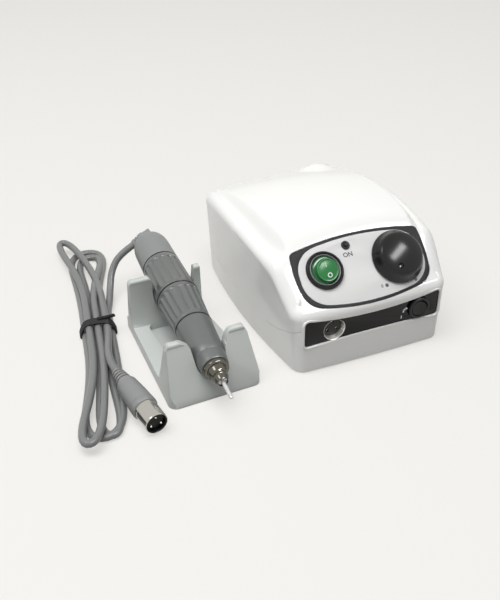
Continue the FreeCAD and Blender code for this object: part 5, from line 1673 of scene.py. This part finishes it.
@dataclass
class FrontStrip:
    """The black strip with the handpiece socket, the direction switch and its printed mark."""

    case: ControlCase = field(default_factory=ControlCase)
    thick: float = 1.1

    def plate(self) -> None:
        """Build the glossy strip."""
        strip = slab("black_strip", self.case.strip_outline(), -self.thick, 0.0)
        cut(strip, drills("holes", ((*SOCKET_AT, 6.95), (*SWITCH_AT, 6.3)), -3.0, 2.0, 72))
        bevel(strip, 0.22, 3, 50.0)
        install(strip, "front_plate", on_front(), "case", STRIP_ACRYLIC)

    def socket(self) -> None:
        """Build the plated socket sleeve and its black insert with three contacts."""
        where = on_front(*SOCKET_AT)
        sleeve = turn("socket_sleeve", [(-15.0, 6.65), (-15.0, 6.93), (0.08, 6.93), (0.16, 6.88), (0.1, 6.8),
                                        (-0.2, 6.72), (-1.6, 6.42), (-3.0, 6.12), (-3.15, 6.2), (-3.2, 6.65),
                                        (-15.0, 6.65)], 96)
        install(sleeve, "socket_shell", where, "case", SOCKET_CHROME, 40.0)
        body = turn("socket_core", [(-14.0, 0.0), (-14.0, 6.6), (-12.0, 6.6), (-12.0, 6.0), (-3.2, 6.0),
                                    (-3.05, 5.9), (-3.0, 5.7), (-3.0, 0.0)], 72)
        pins = three_round(PIN_CIRCLE)
        cut(body, drills("pin_holes", [(x, y, 0.9) for x, y in pins], -9.0, 0.0, 32))
        bevel(body, 0.12, 2, 50.0)
        install(body, "socket_insert", where, "case", SWITCH_NYLON)
        contacts = []
        for x, y in pins:
            ring = turn("contact", [(-8.9, 0.55), (-8.9, 0.88), (-4.35, 0.88), (-4.2, 0.78), (-4.3, 0.6),
                                    (-8.9, 0.55)], 24)
            contacts.append(place(ring, where @ Matrix.Translation((x, y, 0.0))))
        settle(smooth(combine(contacts, "socket_contacts"), 34.0), "case", SOCKET_CHROME)

    def direction(self) -> None:
        """Build the small round direction switch: flange, and a rocker with a shallow valley."""
        where = on_front(*SWITCH_AT)
        body = turn("direction_flange", [
            (-12.0, 0.0), (-12.0, 6.2), (0.0, 6.2), (0.0, 7.0), (0.9, 7.0), (1.45, 6.8), (1.75, 6.4),
            (1.8, 5.9), (1.6, 5.45), (1.0, 5.3), (-7.0, 5.3), (-7.0, 0.0)], 80)
        install(body, "direction_switch_body", where, "case", SWITCH_NYLON)
        clear_selection()
        bpy.ops.mesh.primitive_uv_sphere_add(segments=64, ring_count=32, radius=5.1)
        rocker = fresh("direction_rocker")
        rise = 12.0 * math.tan(math.radians(8.0))
        valley = slab("valley", [(-12.0, -2.6), (12.0, -2.6), (12.0, 1.6 + rise), (0.0, 1.6),
                                 (-12.0, 1.6 + rise)], -12.0, 12.0)
        valley.data.transform(Matrix.Rotation(math.radians(90.0), 4, "X"))
        cut(rocker, valley, "INTERSECT")
        bevel(rocker, 0.25, 3, 40.0)
        pins = turn("direction_pins", [(-5.9, 0.0), (-5.9, 1.0), (5.9, 1.0), (5.9, 0.0)], 24)
        pins.data.transform(Matrix.Translation((0.0, 0.0, -0.6))
                            @ Matrix.Rotation(math.radians(90.0), 4, "X"))
        whole = combine([rocker, pins], "direction_rocker")
        lean = (Matrix.Translation((0.0, 0.0, -0.6)) @ Matrix.Rotation(math.radians(-9.0), 4, "Y")
                @ Matrix.Translation((0.0, 0.0, 0.6)))
        install(whole, "direction_switch_lever", where @ lean, "direction_lever", SWITCH_NYLON)

    def mark(self) -> None:
        """Print the turning arrow beside the direction switch, with its short tick."""
        rows = []
        for k in range(25):
            a = math.radians(200.0 - 150.0 * k / 24.0)
            half = 0.5 if k < 17 else 1.2 * (24 - k) / 8.0 + 0.02
            rows.append((math.cos(a), math.sin(a), half))
        outer = [((1.7 + h) * c, (1.7 + h) * s) for c, s, h in rows]
        inner = [((1.7 - h) * c, (1.7 - h) * s) for c, s, h in rows]
        arrow = slab("direction_arrow", list(reversed(outer)) + inner, -0.05, 0.06)
        place(arrow, on_front(22.4, 26.4, 0.02))
        tick = slab("direction_tick", [(-0.3, -1.1), (0.3, -1.1), (0.3, 1.1), (-0.3, 1.1)], -0.05, 0.06)
        place(tick, on_front(19.6, 22.9, 0.02))
        settle(combine([arrow, tick], "direction_mark"), "case", PRINT_WHITE)

    def build(self) -> None:
        """Build the strip and all on it."""
        self.plate()
        self.socket()
        self.direction()
        self.mark()


# Rear fittings and feet

@dataclass
class RearFittings:
    """The mains inlet, the fuse and what holds the shells together underneath."""

    def build(self) -> None:
        """Round the fittings' edges and dress them."""
        for node, name, width, body, slot, finish in (
                ("mains_inlet", "inlet_housing", 0.5, "case", "black_nylon", SWITCH_NYLON),
                ("inlet_pins", "inlet_blades", 0.3, "case", "brass", BRASS),
                ("fuse_holder", "fuse_collar", 0.4, "case", "black_nylon", SWITCH_NYLON),
                ("fuse_cap", "fuse_screw_cap", 0.3, "fuse_cap", "black_nylon", SWITCH_NYLON),
                ("rubber_feet", "case_feet", 0.25, "case", "black_rubber", FOOT_RUBBER),
                ("case_screws", "shell_screws", 0.2, "case", "steel", GROUND_STEEL)):
            settle(refine(node, name, width), body, finish)


# Cradle

@dataclass
class CradleStand:
    """The moulded stand with two pairs of posts that hold the handpiece."""

    rounding: float = 1.1
    front_cuts: Tuple[Tuple[Point, ...], ...] = (
        ((-84.8, 35.3), (-86.0, 34.7), (-87.0, 33.6), (-87.6, 32.2), (-87.9, 30.5), (-92.0, 30.5),
         (-92.0, 40.0), (-84.8, 40.0)),
        ((-84.0, 35.3), (-82.0, 34.9), (-80.0, 34.1), (-78.0, 32.9), (-76.0, 31.4), (-74.0, 29.6),
         (-72.0, 27.5), (-72.0, 40.0), (-84.0, 40.0)),
        ((-46.6, 35.3), (-48.2, 34.7), (-49.6, 33.5), (-50.7, 31.8), (-51.6, 29.6), (-52.4, 27.0),
         (-54.5, 27.0), (-54.5, 40.0), (-46.6, 40.0)),
        ((-43.6, 35.3), (-42.0, 34.8), (-40.8, 33.8), (-39.9, 32.4), (-39.3, 30.6), (-36.0, 30.6),
         (-36.0, 40.0), (-43.6, 40.0)))
    rear_cuts: Tuple[Tuple[Point, ...], ...] = (
        ((-85.2, 40.3), (-86.9, 39.8), (-88.3, 38.8), (-89.1, 37.4), (-89.5, 35.6), (-93.0, 35.6),
         (-93.0, 44.0), (-85.2, 44.0)),
        ((-79.2, 40.3), (-77.5, 39.8), (-76.2, 38.9), (-75.2, 37.6), (-74.6, 35.8), (-70.0, 35.8),
         (-70.0, 44.0), (-79.2, 44.0)),
        ((-45.7, 40.3), (-46.6, 39.9), (-47.2, 39.1), (-47.6, 38.0), (-50.0, 38.0), (-50.0, 44.0),
         (-45.7, 44.0)),
        ((-44.9, 40.3), (-44.0, 39.9), (-43.3, 39.2), (-43.0, 38.2), (-41.0, 38.2), (-41.0, 44.0),
         (-44.9, 44.0)))

    def tips(self, piece: bpy.types.Object) -> None:
        """Cut the posts' upper corners round, and the front posts down towards the handpiece.

        Args:
            piece: the stand.
        """
        tools = []
        for cuts, low, high in ((self.front_cuts, 40.0, 56.0), (self.rear_cuts, -24.0, -8.0)):
            for outline in cuts:
                rightward = outline[1][0] > outline[0][0]
                tools.append(slab("corner", outline if rightward else outline[::-1], low, high))
        tool = combine(tools, "corners")
        place(tool, Matrix.Scale(MM, 4) @ Matrix.Rotation(math.radians(90.0), 4, "X"))
        cut(piece, tool)

    def build(self) -> None:
        """Round every edge of the stand."""
        piece = refine("cradle", "cradle_stand", self.rounding, 30.0, 4, self.tips)
        settle(piece, "cradle", CRADLE_ABS)


# Cord

@dataclass
class HandpieceCord:
    """The handpiece's cord: lead, tied hank and tail as one smooth line."""

    pitch: float = 5.4
    low: float = 2.35
    waist: Vector = field(default_factory=lambda: Vector((-144.0, 21.0, 0.0)))
    yaw: float = math.radians(-10.0)
    length: float = 1.4
    slots: Tuple[Point, ...] = ((3, 0), (-3, 0), (1, 0), (-1, 0), (0, 1), (-2, 1), (2, 1))
    folds: Tuple[Tuple[float, float, float, int], ...] = (
        (-98.0, 11.0, -6.0, 0), (100.0, 13.0, 1.0, 0), (-97.0, 6.5, -1.5, 0),
        (93.0, 9.0, 2.5, 0), (-107.0, 6.0, -14.0, 1), (109.0, 5.0, -15.0, 1))

    def along(self) -> Vector:
        """Return the hank's long direction, towards the rear."""
        return Vector((-math.sin(self.yaw), math.cos(self.yaw), 0.0))

    def across(self) -> Vector:
        """Return the hank's cross direction."""
        return Vector((math.cos(self.yaw), math.sin(self.yaw), 0.0))

    def height(self, layer: float) -> float:
        """Return the middle height of a layer of strands."""
        return self.low + self.pitch * layer

    def strand(self, index: int) -> Vector:
        """Return where a strand passes through the tie."""
        step, layer = self.slots[index]
        return self.waist + self.across() * (step * self.pitch / 2.0) + Vector((0, 0, self.height(layer)))

    def fold(self, index: int) -> List[Vector]:
        """Return the control points of one fold, from one pass of the tie to the next.

        Args:
            index: the fold's number.

        Returns:
            The control points.
        """
        reach, radius, lean, layer = self.folds[index]
        way = 1.0 if reach > 0 else -1.0
        forward = self.along() * way
        sweep = self.across() * way
        tip = self.waist + self.along() * reach + self.across() * lean + Vector((0, 0, self.height(layer)))
        # The curve cuts its control points' corners, so they stand wider than the fold.
        half = radius * 1.1
        points = []
        for start, side in ((self.strand(index), -1.0), (self.strand(index + 1), 1.0)):
            turned = tip + sweep * side * half
            gap = turned - start
            ahead = (gap.dot(gap) - half ** 2) / (2.0 * (gap.dot(forward) + half))
            points.append([start + forward * ahead, turned])
        return points[0] + points[1][::-1]

    def route(self) -> List[Vector]:
        """Return every control point, from the boot to the plug.

        Returns:
            The points in millimetres about the case's middle.
        """
        boot = Vector((-0.86017, 0.10002, -0.5001))
        out = Vector((-104.2415, 69.2002, 30.4991))
        first = self.strand(0)
        points = [out, out + boot * 11.5, Vector((-121.3, 66.6, 16.5)), Vector((-125.2, 58.9, 8.6)),
                  Vector((-128.6, 49.5, 4.0)), Vector((-132.6, 40.4, self.low)),
                  first + self.along() * 11.0, first]
        for index in range(len(self.folds)):
            points += self.fold(index) + [self.strand(index + 1)]
        plug = (PLUG_FACE - PLUG_REAR).normalized()
        last = self.strand(6)
        return points + [last - self.along() * 12.0, PLUG_REAR - plug * 12.0, PLUG_REAR]

    def build(self) -> None:
        points = self.route()
        cord = wire("handpiece_cord", [at(point) for point in points], CORD_RADIUS * MM, 8, 6)
        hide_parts("cord_lead", "cord_hank", "cord_tail")
        settle(cord, "handpiece", CORD_VINYL)


# Handpiece

@dataclass
class Handpiece:
    """The motor handpiece: domed cap, two fluted sleeves, head sleeve, plated nose and blank bur."""

    rings: Tuple[float, ...] = (33.0, 67.2, 96.8)
    ring_radii: Tuple[float, ...] = (12.25, 13.4, 11.35)
    ring_bores: Tuple[float, ...] = (10.0, 8.35, 8.35)
    head_end: float = 134.0
    flute_count: int = 18
    flute_depth: float = 0.8
    flute_size: float = 2.9

    def flutes(self, piece: bpy.types.Object, first: Point, last: Point) -> None:
        """Cut shallow grooves along a sleeve.

        Args:
            piece: the sleeve, about its own axis.
            first: station and surface radius where the grooves begin.
            last: station and surface radius where they end.
        """
        tools = []
        slope = math.atan2(last[1] - first[1], last[0] - first[0])
        length = math.hypot(last[0] - first[0], last[1] - first[1])
        for i in range(self.flute_count):
            tool = rod("flute", self.flute_size, 0.0, length, 40)
            bevel(tool, 1.2, 3, 50.0)
            tool.data.transform(Matrix.Rotation(2.0 * math.pi * (i + 0.5) / self.flute_count, 4, "Z")
                                @ Matrix.Translation((first[1] + self.flute_size - self.flute_depth, 0.0,
                                                      first[0])) @ Matrix.Rotation(slope, 4, "Y"))
            tools.append(tool)
        cut(piece, combine(tools, "flutes"))

    def finish(self, piece: bpy.types.Object, node: str, body: str, slot: str, finish: Finish) -> None:
        """Place one turned piece on the axis, and let it stand for its node."""
        install(piece, node, along_hand(), body, finish, 32.0)

    def cap(self) -> None:
        """Build the domed rear cap and the cord's boot at its side."""
        dome = [(0.0, 0.0), (0.02, 1.2), (0.14, 2.6), (0.42, 4.0), (0.9, 5.4), (1.6, 6.7), (2.5, 7.9),
                (3.6, 8.9), (5.0, 9.8), (6.6, 10.5), (8.4, 11.05), (10.4, 11.4), (12.6, 11.65)]
        body = turn("domed_cap", dome + [(20.0, 11.85), (32.1, 12.05), (32.45, 12.0), (32.6, 11.8),
                                         (32.6, 10.4), (12.0, 9.9), (7.0, 8.6), (4.0, 6.0), (3.0, 0.0)], 96)
        self.finish(body, "rear_cap", "handpiece", "hand_grey", CAP_GREY)
        way = Vector((-0.86, 0.10, -0.50))
        start = Vector((-96.5, 68.3, 35.0))
        boot = turn("boot", [
            (-5.0, 0.0), (-5.0, 3.55), (0.0, 3.7), (0.5, 4.15), (1.4, 4.2), (2.4, 4.0), (3.9, 3.75),
            (4.1, 3.1), (4.5, 3.0), (4.8, 3.6), (5.8, 3.45), (6.0, 2.95), (6.4, 2.85), (6.7, 3.35), (7.9, 3.15),
            (8.7, 2.95), (9.0, 2.6), (9.0, 0.0)], 56)
        install(boot, "cord_boot", lay(start, way), "handpiece", PLUG_VINYL, 40.0)

    def sleeves(self) -> None:
        """Build the two fluted sleeves and the head sleeve."""
        s1, s2, s3 = self.rings
        rear = turn("motor_sleeve", [
            (s1 + 0.4, 10.4), (s1 + 0.4, 11.85), (s1 + 0.6, 12.1), (s1 + 0.9, 12.2), (s1 + 3.0, 12.25),
            (s2 - 2.5, 13.2), (s2 - 0.9, 13.25), (s2 - 0.6, 13.15), (s2 - 0.4, 12.95), (s2 - 0.4, 10.4),
            (s1 + 0.4, 10.4)], 180)
        self.flutes(rear, (s1 + 3.6, 12.3), (s2 - 3.0, 13.2))
        self.finish(rear, "motor_housing", "handpiece", "hand_grey", SLEEVE_ANODISED)
        lock = turn("fluted_lock", [
            (s2 + 0.55, 8.62), (s2 + 0.55, 12.95), (s2 + 0.75, 13.2), (s2 + 1.1, 13.25), (s2 + 2.6, 13.1),
            (s3 - 2.6, 11.4), (s3 - 1.0, 11.3), (s3 - 0.7, 11.2), (s3 - 0.55, 11.0), (s3 - 0.55, 8.62),
            (s2 + 0.55, 8.62)], 180)
        self.flutes(lock, (s2 + 3.1, 13.1), (s3 - 3.0, 11.42))
        self.finish(lock, "lock_sleeve", "lock_sleeve", "hand_grey", SLEEVE_ANODISED)
        head = turn("head_sleeve", [
            (s2 - 0.4, 6.5), (s2 - 0.4, 8.3), (s3 + 0.4, 8.3), (s3 + 0.4, 10.9), (s3 + 0.6, 11.1),
            (s3 + 1.0, 11.15), (104.0, 10.8), (110.0, 10.42), (116.0, 9.95), (121.0, 9.5), (125.9, 9.0),
            (126.1, 8.85), (126.5, 8.85), (126.7, 8.95), (130.0, 8.6), (133.2, 8.2), (133.7, 8.05),
            (134.0, 7.75), (134.0, 5.0), (129.0, 5.0), (129.0, 6.5), (s2 - 0.4, 6.5)], 128)
        self.finish(head, "front_housing", "handpiece", "hand_grey", SLEEVE_DULL)

    def seals(self) -> None:
        """Build the three black rings between the sleeves."""
        made = []
        for station, radius, bore in zip(self.rings, self.ring_radii, self.ring_bores):
            low, high = station - 0.38, station + 0.38
            made.append(turn("ring", [
                (low, bore), (low, radius - 0.25), (station - 0.2, radius), (station + 0.2, radius),
                (high, radius - 0.25), (high, bore), (low, bore)], 96))
        self.finish(combine(made, "black_rings"), "seal_rings", "handpiece", "black_rubber", RING_RUBBER)

    def nose(self) -> None:
        """Build the plated nose ring and the stepped nose."""
        h = self.head_end
        ring = turn("plated_ring", [
            (h, 5.02), (h, 7.1), (h + 0.25, 7.4), (h + 0.9, 7.45), (h + 1.15, 7.2), (h + 1.35, 7.2),
            (h + 1.6, 7.4), (h + 2.2, 7.35), (h + 2.75, 6.95), (h + 3.0, 6.5), (h + 3.0, 5.02),
            (h, 5.02)], 96)
        self.finish(ring, "nose_ring", "handpiece", "chrome", NOSE_CHROME_PAINTED_DARK)
        cone = turn("plated_nose", [
            (h - 4.0, 4.2), (h - 4.0, 4.9), (h + 2.98, 4.9), (h + 3.0, 5.75), (h + 3.3, 5.95), (h + 3.9, 5.9),
            (h + 6.3, 5.05), (h + 6.9, 4.75), (h + 7.15, 4.45), (h + 7.4, 4.3), (h + 7.8, 4.35),
            (h + 8.2, 4.5), (h + 8.9, 4.5), (h + 9.2, 4.3), (h + 9.5, 3.95), (h + 10.2, 3.8), (h + 11.6, 3.45),
            (h + 12.2, 3.25), (h + 12.5, 3.0), (h + 12.5, 2.7), (140.0, 2.7), (140.0, 4.2), (h - 4.0, 4.2)], 96)
        self.finish(cone, "nose_cone", "handpiece", "chrome", NOSE_CHROME_PAINTED_DARK)

    def bur(self) -> None:
        """Build the plain ground shank with its rounded tip."""
        tip = [(158.8, 1.17), (159.2, 1.08), (159.55, 0.9), (159.8, 0.65), (159.95, 0.35), (160.0, 0.0)]
        shank = turn("plain_bur", [(122.0, 0.0), (122.0, 1.0), (122.2, 1.17), (140.0, 1.175)] + tip, 32)
        self.finish(shank, "blank_bur", "bur", "steel", BUR_STEEL)

    def build(self) -> None:
        """Build every visible piece of the handpiece."""
        self.cap()
        self.sleeves()
        self.seals()
        self.nose()
        self.bur()


# Plug and tie

@dataclass
class CordPlug:
    """The round plug on the cord's end: ribbed vinyl body, plated shell, dark core and three pins."""

    body_end: float = (PLUG_FACE - PLUG_REAR).length - 13.0
    end: float = (PLUG_FACE - PLUG_REAR).length

    def finish(self, piece: bpy.types.Object, node: str, slot: str, finish: Finish) -> None:
        """Place one turned piece on the plug's axis, and let it stand for its node."""
        install(piece, node, along_plug(), "handpiece", finish)

    def build(self) -> None:
        """Build the plug's pieces."""
        b, e = self.body_end, self.end
        ribs: List[Point] = [(0.0, 0.0), (0.0, 2.9), (0.4, 3.3), (1.4, 3.45)]
        for i in range(4):
            s = 1.6 + 2.5 * i
            r = 3.5 + 0.38 * i
            ribs += [(s, r - 0.1), (s + 0.1, r - 0.75), (s + 0.9, r - 0.7), (s + 1.0, r + 0.05),
                     (s + 1.3, r + 0.25), (s + 2.1, r + 0.35)]
        body = turn("plug_grip", ribs + [
            (11.9, 5.3), (12.4, 5.75), (13.2, 6.0), (15.2, 6.2), (18.0, 6.45), (24.0, 6.95), (b - 4.2, 7.4),
            (b - 4.0, 7.2), (b - 3.5, 7.2), (b - 3.3, 7.45), (b - 1.6, 7.5), (b - 0.7, 7.4), (b - 0.15, 6.95),
            (b, 6.6), (b, 0.0)], 72)
        self.finish(body, "plug_body", "grey_rubber", PLUG_VINYL)
        shell = turn("plug_sleeve", [
            (b, 6.12), (b, 6.6), (b + 1.6, 6.6), (b + 1.75, 6.4), (b + 2.1, 6.4), (b + 2.25, 6.6),
            (e - 1.0, 6.6),
            (e - 0.3, 6.55), (e - 0.05, 6.42), (e, 6.3), (e - 0.1, 6.16), (e - 0.4, 6.12), (b, 6.12)], 96)
        self.finish(shell, "plug_shell", "chrome", PLUG_CHROME)
        core = turn("plug_core", [(b, 0.0), (b, 6.04), (e - 1.0, 6.04), (e - 0.8, 5.9), (e - 1.0, 5.6),
                                  (e - 2.4, 5.5), (e - 2.5, 0.0)], 72)
        self.finish(core, "plug_insert", "black_nylon", CORE_NYLON)
        pins = []
        for x, y in three_round(PIN_CIRCLE):
            pin = turn("pin", [(b + 3.0, 0.0), (b + 3.0, 0.75), (e - 1.5, 0.75), (e - 1.15, 0.62),
                               (e - 0.95, 0.4), (e - 0.9, 0.0)], 24)
            pins.append(place(pin, Matrix.Translation((x, y, 0.0))))
        self.finish(combine(pins, "plug_contacts"), "plug_pins", "chrome", PLUG_CHROME)


@dataclass
class HankTie:
    """The coated wire that ties the hank: five wraps, and its ends twisted together."""

    cord: HandpieceCord = field(default_factory=HandpieceCord)
    half_low: float = 10.6
    half_high: float = 8.0
    top: float = 10.55
    wire_radius: float = 0.68

    def strand(self, name: str, points: Sequence[Vector], closed: bool) -> bpy.types.Object:
        """Return one wire along points in the tie's own frame, as a mesh."""
        take(wire(name, points, self.wire_radius, 6, 4, closed))
        bpy.ops.object.convert(target="MESH")
        return fresh(name)

    def build(self) -> None:
        """Wind the wraps and twist the ends."""
        pieces = []
        a, b, t = self.half_low, self.half_high, self.top
        for k, offset in enumerate((-2.5, -1.3, -0.1, 1.1, 2.3)):
            lean = 0.35 * (k % 2)
            ring = [Vector((-a, offset, 0.7)), Vector((-a - 0.5, offset + lean, 2.6)),
                    Vector((-a + 0.5, offset + lean, 5.8)), Vector((-b, offset - lean, t - 1.0)),
                    Vector((-b + 2.6, offset, t + 0.25)), Vector((0.0, offset + lean, t + 0.5)),
                    Vector((b - 2.6, offset, t + 0.25)), Vector((b, offset + lean, t - 1.0)),
                    Vector((a - 0.5, offset - lean, 5.8)), Vector((a + 0.5, offset, 2.6)),
                    Vector((a, offset, 0.7))]
            pieces.append(self.strand("wrap", ring, True))
        for phase in (0.0, math.pi):
            twist = []
            for k in range(30):
                s = k / 29.0
                angle = phase + s * 3.6 * 2.0 * math.pi
                middle = Vector((0.5 + 10.5 * s, 0.8 + 3.6 * s * s, t + 1.5 - 0.3 * s - 1.0 * s * s))
                twist.append(middle + Vector((0.0, 0.62 * math.cos(angle), 0.62 * math.sin(angle))))
            pieces.append(self.strand("twist", twist, False))
        tie = combine(pieces, "hank_tie")
        yaw = self.cord.yaw
        where = lay(self.cord.waist, Vector((0.0, 0.0, 1.0)), Vector((math.cos(yaw), math.sin(yaw), 0.0)))
        install(tie, "cord_tie", where, "handpiece", TIE_VINYL, 40.0)


def main() -> None:
    """Build the studio and every sub-assembly, and report each piece."""
    logging.basicConfig(level=logging.INFO, format="%(name)s %(message)s")
    Studio().build()
    HandpieceCord().build()
    for part in (ControlCase(), ControlPanel(), PowerSwitch(), SpeedKnob(), FrontStrip(), RearFittings(),
                 CradleStand(), Handpiece(), CordPlug(), HankTie()):
        part.build()
    for name, finish in NODE_FINISHES.items():
        dress(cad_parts[name], finish)


if __name__ == "__main__":
    main()
